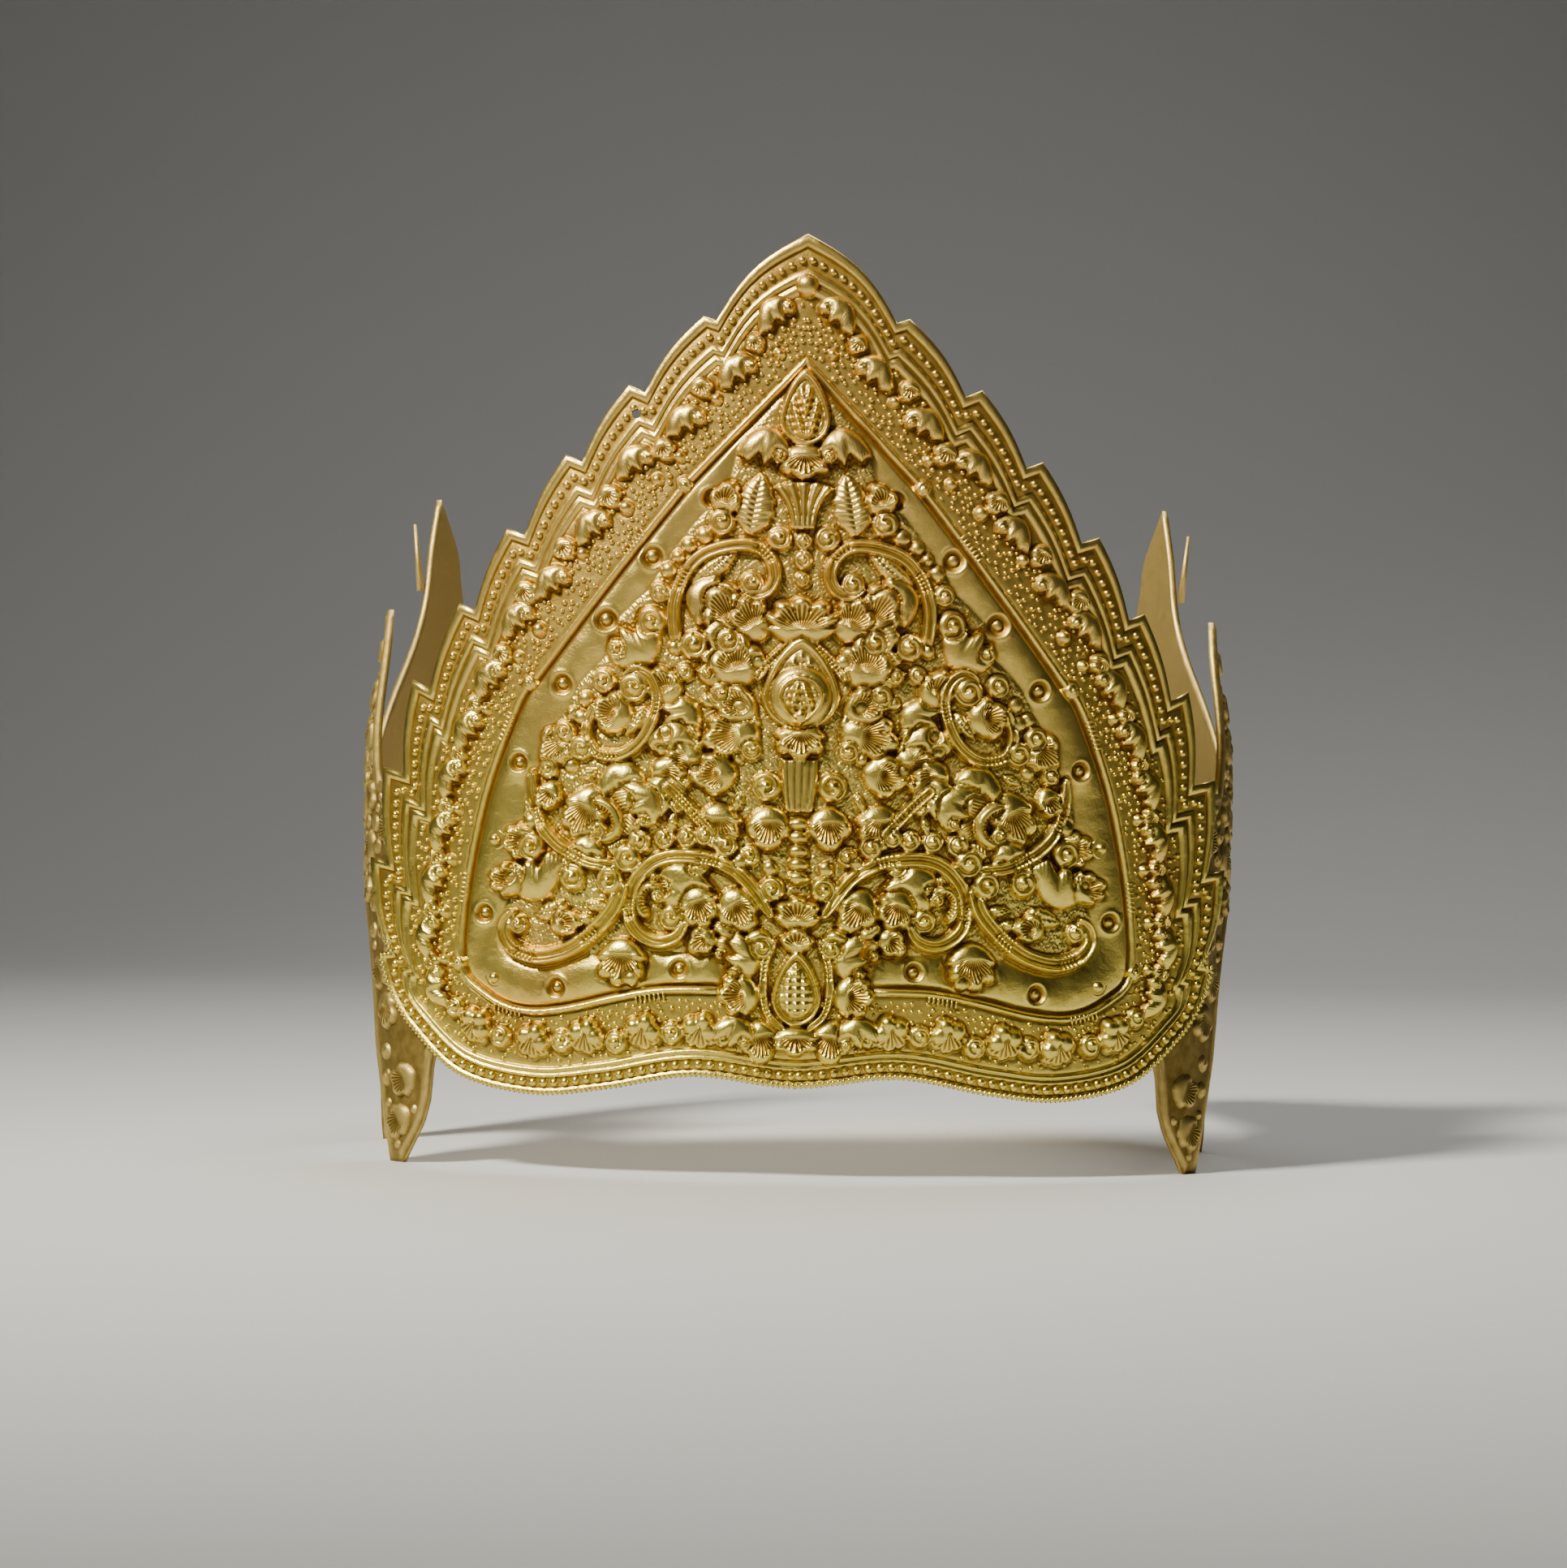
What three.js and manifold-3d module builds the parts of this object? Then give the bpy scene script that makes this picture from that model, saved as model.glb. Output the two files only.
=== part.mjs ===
// Ceremonial headdress: a tall leaf-shaped front plate of chased gold sheet with stepped
// edges, and two side plates that wrap back past the temples, riveted behind the front plate.
// Millimetres, +Z up, the front faces -Y, the tips of the ear flaps stand on z = 0.
import * as THREE from 'three';
import { mergeVertices } from 'three/addons/utils/BufferGeometryUtils.js';
import Module from 'manifold-3d';

const wasm = await Module();
wasm.setup();

// Driving sizes
const FRONT_RADIUS = 150;
const SHEET = 1.2;
const GAP = 0.3;
const FRONT_TURN = 40;
const FRONT_FACETS = 14;
const FIELD_RISE = 1.3;
const FIELD_LIP = 1.6;
const RELIEF_ROOT = 0.6;
const RELIEF_REACH = 8;
const RIDGE_WIDTH = 1.3;
const RIDGE_RISE = 0.8;
const RIDGE_INSET = { low: 5.0, high: 7.2, lowUp: 25, highUp: 70 };
const MOULDING_WIDTH = 1.5;
const MOULDING_RISE = 0.9;
const RUN_POINTS = 3;
const LOWER_POINTS = 11;
const DEPTH_CENTRE = 77.8;

// Stepped upper edge of the front plate, right half, from the apex down.
// Each row is one run: its outer tip, the notch that ends it and its outward swell.
// The last run is the rounded lower corner, which ends without a notch.
const STEPS = [
  { tip: [0, 190.0], notch: [18.2, 172.5], swell: 2.4 },
  { tip: [20.8, 173.4], notch: [32.6, 158.1], swell: 1.2 },
  { tip: [36.0, 159.6], notch: [45.7, 144.2], swell: 0.9 },
  { tip: [49.2, 145.6], notch: [58.1, 129.5], swell: 0.8 },
  { tip: [62.1, 130.8], notch: [69.4, 114.2], swell: 0.8 },
  { tip: [73.1, 115.6], notch: [80.1, 98.0], swell: 0.8 },
  { tip: [84.5, 99.9], notch: [86.4, 80.6], swell: 1.0 },
  { tip: [91.9, 81.8], notch: [90.3, 62.3], swell: 0.9 },
  { tip: [95.0, 63.1], notch: [89.4, 43.6], swell: 1.4 },
  { tip: [92.5, 43.2], notch: [84.6, 29.3], swell: 1.0 },
];

// Waved lower edge, right half, from the lower corner to the middle.
const LOWER_EDGE = [[84.6, 29.3], [71.9, 19.4], [54.8, 16.0], [39.1, 17.5], [20.6, 20.7], [0, 18.7]];

// Inner moulding and raised field of the front plate, right half: [across, up].
const MOULDING = [
  [0, 164.3], [23.6, 139.9], [39.5, 120.4], [55.7, 99.1], [62.2, 87.2], [68.3, 67.3],
  [71.1, 45.7], [71.2, 40.0], [66.0, 35.6], [54.4, 32.8], [36.1, 36.4], [19.4, 38.5], [0, 34.0],
];
const FIELD = [
  [0, 162.5], [7.2, 155.0], [11.0, 146.0], [17.0, 135.0], [25.6, 128.6], [32.0, 118.2], [42.0, 103.0],
  [50.0, 92.5], [57.0, 73.5], [59.8, 62.4], [62.0, 51.0], [58.0, 41.6], [46.6, 41.6], [30.0, 42.6],
  [17.0, 44.0], [14.0, 30.0], [0, 25.2],
];

// Bosses on the plain band, and the two of each side that are rivet heads.
const BOSSES = [
  [18.6, 136.8], [30.5, 125.0], [39.9, 112.2], [49.0, 99.2], [58.2, 83.2], [65.6, 52.4],
  [49.2, 37.8], [23.6, 41.2],
];
const BOSS = { radius: 2.3, rise: 1.1 };
const RIVETS = [
  { name: 'upper', across: 63.2, up: 67.4 },
  { name: 'lower', across: 62.9, up: 39.2 },
];
const RIVET = { shank: 1.2, hole: 1.6, head: 2.4, dome: 1.5, tail: 0.9 };

// Ornament of the middle axis: up, half width, half height, rise above the field.
const AXIS_FORMS = [
  { up: 154.0, wide: 5.2, tall: 8.0, rise: 3.0 },
  { up: 143.8, wide: 6.6, tall: 3.2, rise: 2.6 },
  { up: 135.1, wide: 4.6, tall: 5.4, rise: 2.2 },
  { up: 128.6, wide: 1.7, tall: 1.7, rise: 2.2 },
  { up: 124.9, wide: 1.7, tall: 1.7, rise: 2.2 },
  { up: 121.3, wide: 1.7, tall: 1.7, rise: 2.2 },
  { up: 115.6, wide: 6.8, tall: 3.8, rise: 2.8 },
  { up: 97.7, wide: 6.6, tall: 10.5, rise: 3.8 },
  { up: 88.2, wide: 5.2, tall: 3.4, rise: 3.0 },
  { up: 78.9, wide: 3.8, tall: 6.0, rise: 2.6 },
  { up: 66.0, wide: 1.8, tall: 7.2, rise: 2.2 },
  { up: 55.3, wide: 4.4, tall: 3.8, rise: 2.8 },
  { up: 49.6, wide: 3.4, tall: 2.6, rise: 2.4 },
  { up: 39.4, wide: 5.4, tall: 8.2, rise: 3.0 },
  { up: 28.2, wide: 3.8, tall: 2.6, rise: 2.0 },
];

// Curls and domes of the field, right half: [across, up, radius].
const CURLS = [
  [16.0, 131.4, 2.3], [5.0, 128.6, 2.6], [28.7, 118.2, 2.1], [31.0, 110.8, 4.6], [21.8, 108.3, 3.0],
  [15.2, 108.3, 2.6], [23.3, 101.8, 2.6], [33.3, 98.6, 3.6], [40.6, 99.9, 3.0], [48.6, 88.0, 3.0],
  [47.5, 81.4, 2.3], [5.8, 78.9, 2.8], [56.1, 66.6, 2.8], [31.7, 68.3, 2.3], [13.9, 66.7, 2.6],
  [54.2, 60.8, 3.8], [45.3, 59.6, 2.6], [5.3, 65.9, 2.3], [5.2, 59.4, 2.3], [11.0, 43.9, 2.3],
  [10.9, 39.0, 2.6], [6.9, 30.9, 2.8],
];

// Leaves of the field, right half: across, up, half length, half width, turn from level.
const LEAVES = [
  [12.5, 136.0, 3.3, 1.8, 120], [19.5, 115.6, 3.9, 2.0, 80], [9.5, 108.3, 4.3, 2.2, 110],
  [16.6, 98.5, 3.9, 2.3, 30], [12.0, 89.5, 4.3, 2.0, 20], [23.9, 93.6, 4.3, 2.2, 100],
  [25.4, 85.5, 3.9, 2.3, 45], [17.0, 80.6, 3.9, 2.2, 150], [44.7, 70.7, 3.9, 1.8, 140],
  [35.3, 74.0, 3.9, 2.0, 60], [21.5, 57.7, 4.3, 2.0, 20], [49.5, 53.5, 3.4, 1.8, 30],
  [38.8, 80.3, 5.5, 3.0, 0], [36.8, 91.0, 5.6, 5.0, 0],
];

// Scroll stems, right half, as points [across, up] along the ridge.
const SCROLLS = [
  { thick: 1.3, path: [[24.6, 106.7], [24.5, 116.5], [21.3, 122.2], [16.4, 125.9], [10.7, 126.8],
    [6.6, 124.0], [7.2, 117.5], [11.0, 119.0]] },
  { thick: 1.4, path: [[6.6, 54.2], [10.0, 60.2], [16.7, 64.0], [23.3, 64.6], [29.9, 62.4], [33.2, 57.7],
    [33.4, 51.1], [29.6, 47.1], [24.6, 47.5], [24.4, 52.4]] },
  { thick: 1.4, path: [[34.8, 56.0], [39.8, 49.4], [46.7, 45.0], [53.8, 43.8], [59.0, 46.0], [57.4, 50.9]] },
  { thick: 1.5, path: [[54.2, 78.1], [53.4, 73.2], [50.8, 68.2], [46.3, 65.0], [41.0, 63.2], [37.1, 63.4]] },
  { thick: 1.0, path: [[26.9, 77.3], [22.7, 74.4], [18.1, 70.5]] },
];

// Vine between the stepped ridge and the moulding, right half: [across, up, radius].
const VINE = [
  [0, 178.0, 2.8], [10.0, 168.4, 4.0], [22.6, 156.4, 4.0], [34.6, 143.2, 4.0], [45.8, 129.4, 4.0],
  [56.4, 114.8, 4.0], [66.2, 99.6, 4.0], [73.4, 84.6, 4.0], [78.2, 69.4, 4.0], [80.0, 54.6, 4.0],
  [77.8, 39.6, 4.0], [66.4, 28.4, 4.0], [51.4, 25.8, 3.6], [36.6, 28.4, 3.6], [22.6, 30.4, 3.2],
];
const VINE_RISE = 1.0;

// Plan of a side plate's outer face as tangent arcs, by the turn of the face from the front.
const SIDE_ARCS = [
  { from: 19.7, to: 30, radius: FRONT_RADIUS - SHEET - GAP, facets: 2 },
  { from: 30, to: 62, radius: 32, facets: 4 },
  { from: 62, to: 90, radius: 47, facets: 4 },
  { from: 90, to: 134, radius: 150, facets: 6 },
];

// Outline of a side plate seen from the side: [back, up], each stretch a smooth curve.
// It runs from the hidden flange round the ear flap, the ear arch, the rear foot,
// the tall rear point and the small front point back to the flange.
const SIDE_STRETCHES = [
  { points: 2, path: [[9, 26], [21.6, 24]] },
  { points: 5, path: [[21.7, 22], [22.6, 10.1], [26.6, 0]] },
  { points: 2, path: [[26.6, 0], [29.8, 0]] },
  { points: 13, path: [[29.8, 0], [33.6, 14.3], [36.6, 24], [40.4, 41], [48, 53], [57, 56], [66, 50],
    [72, 36], [75.8, 18], [79, 0]] },
  { points: 2, path: [[79, 0], [86, 0]] },
  { points: 8, path: [[86, 0], [90, 11], [98, 24], [112, 34], [132, 42], [150, 50], [158.5, 60]] },
  { points: 3, path: [[158.5, 60], [161, 70], [158, 83]] },
  { points: 7, path: [[158, 83], [134, 101], [122, 112], [117.5, 122], [115.2, 132], [107, 143]] },
  { points: 8, path: [[107, 143], [103.4, 132], [101, 121], [95.6, 111.7], [85.6, 102.3], [61.8, 85]] },
  { points: 5, path: [[61.8, 85], [59.6, 97], [56, 109], [51.5, 115.5]] },
  { points: 5, path: [[51.5, 115.5], [46, 107], [41.5, 92], [38, 79]] },
  { points: 2, path: [[38, 79], [9, 78]] },
  { points: 2, path: [[9, 78], [9, 26]] },
];
const SIDE_RIM = { width: 2.0, rise: 0.5 };

// Low relief of a side plate: turn of the face, up, radius.
const SIDE_FORMS = [
  [44, 11, 2.6], [50, 21, 3.4], [64, 33, 3.2], [64, 47, 3.6], [60, 61, 3.8], [74, 66, 3.8], [84, 78, 3.6],
  [84, 96, 3.2], [96, 78, 3.8], [104, 86, 4.0], [108, 101, 3.4], [110, 114, 2.6], [114, 86, 4.0],
  [122, 76, 4.0], [127, 66, 3.6], [101, 22, 3.2], [100, 46, 3.8], [112, 58, 4.0],
];
const PRONG = { turn: 107.4, foot: 123, length: 14, wide: 1.5, tip: 0.5, lean: 9 };

// Solids from closed geometry, and meshes back from solids
function solid(geometry) {
  geometry.deleteAttribute('normal');
  geometry.deleteAttribute('uv');
  const merged = mergeVertices(geometry, 1e-4);
  const triVerts = new Uint32Array(merged.index.array);
  const vertProperties = new Float32Array(merged.attributes.position.array);
  return new wasm.Manifold(new wasm.Mesh({ numProp: 3, vertProperties, triVerts }));
}

function meshOf(body, name, material) {
  const { vertProperties, triVerts } = body.getMesh();
  const geometry = new THREE.BufferGeometry();
  geometry.setAttribute('position', new THREE.BufferAttribute(vertProperties, 3));
  geometry.setIndex(new THREE.BufferAttribute(triVerts, 1));
  geometry.computeVertexNormals();
  const mesh = new THREE.Mesh(geometry, material);
  mesh.name = name;
  return mesh;
}

// Flat outlines
function bothHalves(half) {
  const left = half.filter(([across]) => across > 0).map(([across, up]) => [-across, up]);
  return [...half, ...left.reverse()];
}

function smooth(path, points) {
  const curve = new THREE.SplineCurve(path.map(([a, b]) => new THREE.Vector2(a, b)));
  return curve.getPoints(points).map((p) => [p.x, p.y]);
}

// Corners of the front plate's outline, each with the swell of the run that follows it.
function frontCorners() {
  const runs = STEPS.flatMap(({ tip, notch, swell }) => [{ at: tip, swell }, { at: notch, swell: 0 }]);
  const lower = smooth(LOWER_EDGE, LOWER_POINTS).slice(1).map((at) => ({ at, swell: 0 }));
  const right = [...runs, ...lower];
  const left = right.slice(1, -1).map(({ at }, i) => ({ at: [-at[0], at[1]], swell: right[i].swell }));
  return [...right, ...left.reverse()];
}

function swelled(from, to, swell) {
  const along = new THREE.Vector2(to[0] - from[0], to[1] - from[1]);
  const out = new THREE.Vector2(-along.y, along.x).normalize().multiplyScalar(2 * swell);
  const bend = new THREE.Vector2((from[0] + to[0]) / 2, (from[1] + to[1]) / 2).add(out);
  const curve = new THREE.QuadraticBezierCurve(new THREE.Vector2(...from), bend, new THREE.Vector2(...to));
  return curve.getPoints(RUN_POINTS).slice(0, RUN_POINTS).map((p) => [p.x, p.y]);
}

// Outline of the front plate, moved inwards by a distance that may change with height.
function frontOutline(distance) {
  const corners = frontCorners();
  const moved = inset(corners.map(({ at }) => at), distance);
  return moved.flatMap((point, i) => {
    const next = moved[(i + 1) % moved.length];
    return corners[i].swell > 0 ? swelled(point, next, corners[i].swell) : [point];
  });
}

function signedArea(points) {
  return points.reduce((sum, [x, y], i) => {
    const [nx, ny] = points[(i + 1) % points.length];
    return sum + (x * ny - nx * y) / 2;
  }, 0);
}

// Outline moved inwards by a mitred distance that may change with height.
function inset(points, distance) {
  const sense = Math.sign(signedArea(points));
  const normal = (a, b) => {
    const length = Math.hypot(b[0] - a[0], b[1] - a[1]);
    return [(-sense * (b[1] - a[1])) / length, (sense * (b[0] - a[0])) / length];
  };
  return points.map((point, i) => {
    const before = normal(points[(i + points.length - 1) % points.length], point);
    const after = normal(point, points[(i + 1) % points.length]);
    const mitre = distance(point[1]) / (1 + before[0] * after[0] + before[1] * after[1]);
    return [point[0] + mitre * (before[0] + after[0]), point[1] + mitre * (before[1] + after[1])];
  });
}

function shapeOf(points) {
  return new THREE.Shape(points.map(([a, b]) => new THREE.Vector2(a, b)));
}

// Front plate space: across the sheet, up, and lift off its outer face
function acrossToX([across, up]) {
  return [FRONT_RADIUS * Math.sin(across / FRONT_RADIUS), up];
}

function onFront(across, up, lift) {
  const turn = across / FRONT_RADIUS;
  const reach = FRONT_RADIUS + lift;
  return new THREE.Vector3(reach * Math.sin(turn), FRONT_RADIUS - reach * Math.cos(turn), up);
}

function frontPrism(points) {
  const shape = shapeOf(points.map(acrossToX));
  const geometry = new THREE.ExtrudeGeometry(shape, { depth: 90, bevelEnabled: false });
  geometry.rotateX(Math.PI / 2).translate(0, 70, 0);
  return solid(geometry);
}

function frontShell(low, high) {
  const turn = THREE.MathUtils.degToRad(FRONT_TURN);
  const shape = new THREE.Shape();
  shape.absarc(0, FRONT_RADIUS, FRONT_RADIUS + high, -Math.PI / 2 - turn, -Math.PI / 2 + turn, false);
  shape.absarc(0, FRONT_RADIUS, FRONT_RADIUS + low, -Math.PI / 2 + turn, -Math.PI / 2 - turn, true);
  const options = { depth: 200, bevelEnabled: false, curveSegments: FRONT_FACETS };
  return solid(new THREE.ExtrudeGeometry(shape, options));
}

function frontBand(outer, inner, rise) {
  return frontPrism(outer).subtract(frontPrism(inner)).intersect(frontShell(-RELIEF_ROOT, rise));
}

// Rounded form sunk half into a face: half width, half height, rise and turn in the face.
function mound(wide, tall, rise, turn, face, place) {
  const geometry = new THREE.SphereGeometry(1, 6, 3);
  geometry.scale(wide, rise, tall).rotateY(-THREE.MathUtils.degToRad(turn)).rotateZ(face);
  geometry.translate(place.x, place.y, place.z);
  return solid(geometry);
}

function frontMound(across, up, wide, tall, rise, turn, lift) {
  return mound(wide, tall, rise, turn, across / FRONT_RADIUS, onFront(across, up, lift));
}

function scroll({ thick, path }, side, lift) {
  const points = path.map(([across, up]) => onFront(side * across, up, lift));
  const section = new THREE.Shape().absarc(0, 0, thick, 0, 2 * Math.PI, false);
  const extrudePath = new THREE.CatmullRomCurve3(points);
  const options = { steps: points.length + 2, curveSegments: 3, bevelEnabled: false, extrudePath };
  return solid(new THREE.ExtrudeGeometry(section, options));
}

// Side plate space: the turn of the face gives its plan place
function sideCentres() {
  const centres = [];
  let end = null;
  SIDE_ARCS.forEach(({ from, to, radius }) => {
    const out = (degrees) => new THREE.Vector2(
      Math.sin(THREE.MathUtils.degToRad(degrees)),
      -Math.cos(THREE.MathUtils.degToRad(degrees)),
    );
    const centre = end ? end.clone().addScaledVector(out(from), -radius) : new THREE.Vector2(0, FRONT_RADIUS);
    centres.push(centre);
    end = centre.clone().addScaledVector(out(to), radius);
  });
  return centres;
}

const SIDE_CENTRES = sideCentres();

function onSide(turn, lift, side) {
  const last = SIDE_ARCS.length - 1;
  const found = SIDE_ARCS.findIndex(({ to }) => turn <= to);
  const arc = found < 0 ? last : found;
  const angle = THREE.MathUtils.degToRad(turn);
  const reach = SIDE_ARCS[arc].radius + lift;
  const centre = SIDE_CENTRES[arc];
  return [side * (centre.x + reach * Math.sin(angle)), centre.y - reach * Math.cos(angle)];
}

function sideFace(lift, side) {
  return SIDE_ARCS.flatMap(({ from, to, facets }, i) => {
    const turns = Array.from({ length: facets }, (_, k) => from + ((to - from) * k) / facets);
    const all = i === SIDE_ARCS.length - 1 ? [...turns, to] : turns;
    return all.map((turn) => onSide(turn, lift, side));
  });
}

function sideShell(low, high, side) {
  const shape = shapeOf([...sideFace(high, side), ...sideFace(low, side).reverse()]);
  return solid(new THREE.ExtrudeGeometry(shape, { depth: 200, bevelEnabled: false }));
}

function sideOutline() {
  return SIDE_STRETCHES.flatMap(({ points, path }) => smooth(path, points - 1).slice(0, points - 1));
}

function sidePrism(points, side) {
  const geometry = new THREE.ExtrudeGeometry(shapeOf(points), { depth: 120, bevelEnabled: false });
  const basis = new THREE.Matrix4().makeBasis(
    new THREE.Vector3(0, 1, 0),
    new THREE.Vector3(0, 0, 1),
    new THREE.Vector3(1, 0, 0),
  );
  geometry.applyMatrix4(basis).translate(side < 0 ? -120 : 0, 0, 0);
  return solid(geometry);
}

function rivetHole({ across, up }, side) {
  const geometry = new THREE.CylinderGeometry(RIVET.hole, RIVET.hole, 12, 8);
  const place = onFront(side * across, up, -SHEET);
  geometry.rotateZ((side * across) / FRONT_RADIUS).translate(place.x, place.y, place.z);
  return solid(geometry);
}

// Front plate: stepped sheet, stepped ridge, moulding, raised field and its ornament
function frontPlate() {
  const outline = frontOutline(() => 0);
  const { low, high, lowUp, highUp } = RIDGE_INSET;
  const { clamp, mapLinear } = THREE.MathUtils;
  const ridgeAt = (up) => mapLinear(clamp(up, lowUp, highUp), lowUp, highUp, low, high);
  const ridge = frontOutline(ridgeAt);
  const ridgeInner = frontOutline((up) => ridgeAt(up) + RIDGE_WIDTH);
  const moulding = bothHalves(MOULDING);
  const field = bothHalves(FIELD);
  let relief = frontBand(ridge, ridgeInner, RIDGE_RISE)
    .add(frontBand(moulding, inset(moulding, () => MOULDING_WIDTH), MOULDING_RISE));
  let ornament = frontPrism(field).intersect(frontShell(-RELIEF_ROOT, FIELD_RISE));
  AXIS_FORMS.forEach(({ up, wide, tall, rise }) => {
    ornament = ornament.add(frontMound(0, up, wide, tall, rise, 0, FIELD_RISE));
  });
  [-1, 1].forEach((side) => {
    CURLS.forEach(([across, up, radius]) => {
      const rise = 0.9 + 0.4 * radius;
      ornament = ornament.add(frontMound(side * across, up, radius, radius, rise, 0, FIELD_RISE));
    });
    LEAVES.forEach(([across, up, long, wide, turn]) => {
      ornament = ornament.add(frontMound(side * across, up, long, wide, 1.4, side * turn, FIELD_RISE));
    });
    SCROLLS.forEach((row) => {
      ornament = ornament.add(scroll(row, side, FIELD_RISE));
    });
    BOSSES.forEach(([across, up]) => {
      relief = relief.add(frontMound(side * across, up, BOSS.radius, BOSS.radius, BOSS.rise, 0, 0));
    });
    VINE.filter(([across]) => across > 0 || side > 0).forEach(([across, up, radius], i) => {
      const slant = side * (i % 2 ? 0 : 45);
      relief = relief.add(frontMound(side * across, up, radius, 0.7 * radius, VINE_RISE, slant, 0));
    });
  });
  const outside = frontShell(-RELIEF_ROOT, RELIEF_REACH).intersect(frontPrism(outline));
  const hollow = frontPrism(inset(field, () => FIELD_LIP)).intersect(frontShell(-SHEET - 1, FIELD_RISE - SHEET));
  let plate = frontShell(-SHEET, 0)
    .intersect(frontPrism(outline))
    .add(relief.add(ornament).intersect(outside))
    .subtract(hollow);
  [-1, 1].forEach((side) => {
    RIVETS.forEach((rivet) => {
      plate = plate.subtract(rivetHole(rivet, side));
    });
  });
  return plate;
}

// Side plate: sheet cut to its outline, plain rim, low relief and the small prong
function sidePlate(side) {
  const outline = sideOutline();
  let relief = sidePrism(outline, side)
    .subtract(sidePrism(inset(outline, () => SIDE_RIM.width), side))
    .intersect(sideShell(-RELIEF_ROOT, SIDE_RIM.rise, side))
    .intersect(sideKeep(side));
  SIDE_FORMS.forEach(([turn, up, radius]) => {
    const [x, y] = onSide(turn, 0, side);
    const face = side * THREE.MathUtils.degToRad(turn);
    const place = new THREE.Vector3(x, y, up);
    relief = relief.add(mound(radius, 0.9 * radius, 1.5, 0, face, place));
  });
  relief = relief.add(prong(side)).intersect(sideShell(-RELIEF_ROOT, RELIEF_REACH, side));
  let plate = sideShell(-SHEET, 0, side).intersect(sidePrism(outline, side)).add(relief);
  RIVETS.forEach((rivet) => {
    plate = plate.subtract(rivetHole(rivet, side));
  });
  return plate;
}

// The rim is raised only behind the flange, where the face is clear of the front plate.
function sideKeep(side) {
  const geometry = new THREE.BoxGeometry(120, 160, 200);
  geometry.translate(side * 60, 25 + 80, 100);
  return solid(geometry);
}

function prong(side) {
  const [x, y] = onSide(PRONG.turn, 0, side);
  const geometry = new THREE.CylinderGeometry(PRONG.tip, PRONG.wide, PRONG.length, 7);
  geometry.rotateX(Math.PI / 2).translate(0, 0, PRONG.length / 2);
  geometry.rotateY(side * THREE.MathUtils.degToRad(PRONG.lean)).translate(x, y, PRONG.foot);
  return solid(geometry);
}

function rivetMesh({ name, across, up }, side, material) {
  const inner = -2 * SHEET - 2 * GAP;
  const profile = [
    [0, inner - RIVET.tail], [RIVET.head, inner - RIVET.tail], [RIVET.head, inner], [RIVET.shank, inner],
    [RIVET.shank, GAP], [RIVET.head, GAP], [0.87 * RIVET.head, GAP + 0.5 * RIVET.dome],
    [0.5 * RIVET.head, GAP + 0.87 * RIVET.dome], [0, GAP + RIVET.dome],
  ];
  const geometry = new THREE.LatheGeometry(profile.map(([r, h]) => new THREE.Vector2(r, h)), 8);
  geometry.rotateX(Math.PI);
  const mesh = meshOf(solid(geometry), `rivet_${side < 0 ? 'left' : 'right'}_${name}`, material);
  mesh.rotation.z = (side * across) / FRONT_RADIUS;
  mesh.position.copy(onFront(side * across, up, 0));
  return mesh;
}

const frontGold = new THREE.MeshStandardMaterial({ color: 0xd9a441, roughness: 0.35, metalness: 1 });
const sideGold = new THREE.MeshStandardMaterial({ color: 0xc9964a, roughness: 0.45, metalness: 1 });

const headdress = new THREE.Group();
headdress.add(meshOf(frontPlate(), 'front_plate', frontGold));
headdress.add(meshOf(sidePlate(-1), 'side_plate_left', sideGold));
headdress.add(meshOf(sidePlate(1), 'side_plate_right', sideGold));
[-1, 1].forEach((side) => {
  RIVETS.forEach((rivet) => headdress.add(rivetMesh(rivet, side, frontGold)));
});
headdress.position.y = -DEPTH_CENTRE;

export default headdress;
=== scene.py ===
"""Dresses the ceremonial headdress: chased gold front plate, two side plates, four rivets."""
import logging
import math
import random
from dataclasses import dataclass, field
from enum import Enum
from typing import Any, Callable, Iterable, Sequence

import bmesh
import bpy
import numpy as np
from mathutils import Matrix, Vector


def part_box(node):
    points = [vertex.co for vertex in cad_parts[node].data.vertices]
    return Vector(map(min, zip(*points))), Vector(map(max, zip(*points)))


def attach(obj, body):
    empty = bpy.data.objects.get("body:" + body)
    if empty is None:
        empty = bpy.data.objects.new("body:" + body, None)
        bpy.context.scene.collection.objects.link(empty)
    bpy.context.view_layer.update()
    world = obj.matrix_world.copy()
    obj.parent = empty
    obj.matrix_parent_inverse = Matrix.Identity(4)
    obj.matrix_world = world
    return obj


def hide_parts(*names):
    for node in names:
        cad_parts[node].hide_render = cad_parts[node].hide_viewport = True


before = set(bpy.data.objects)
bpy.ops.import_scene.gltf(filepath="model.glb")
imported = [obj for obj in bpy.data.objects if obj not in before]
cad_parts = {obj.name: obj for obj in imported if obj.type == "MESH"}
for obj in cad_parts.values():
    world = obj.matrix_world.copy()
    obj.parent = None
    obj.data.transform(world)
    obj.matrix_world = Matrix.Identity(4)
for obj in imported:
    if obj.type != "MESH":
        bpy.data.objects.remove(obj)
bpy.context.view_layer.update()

MM = 0.001
DEPTH_CENTRE = 77.8
LOG = logging.getLogger("headdress")

Spot = tuple[float, float]
Shape = Callable[[float, float], tuple[float, float, float]]


class Slot(Enum):
    """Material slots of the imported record."""

    FRONT = "front_gold"
    SIDE = "side_gold"
    RIVET = "rivet_gold"


class Half(Enum):
    """The two halves of the symmetric headdress."""

    RIGHT = 1
    LEFT = -1


# ---------------------------------------------------------------- small geometry helpers

def ease(value: float) -> float:
    """Return a smooth step of value between 0 and 1."""
    value = min(1.0, max(0.0, value))
    return value * value * (3.0 - 2.0 * value)


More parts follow.
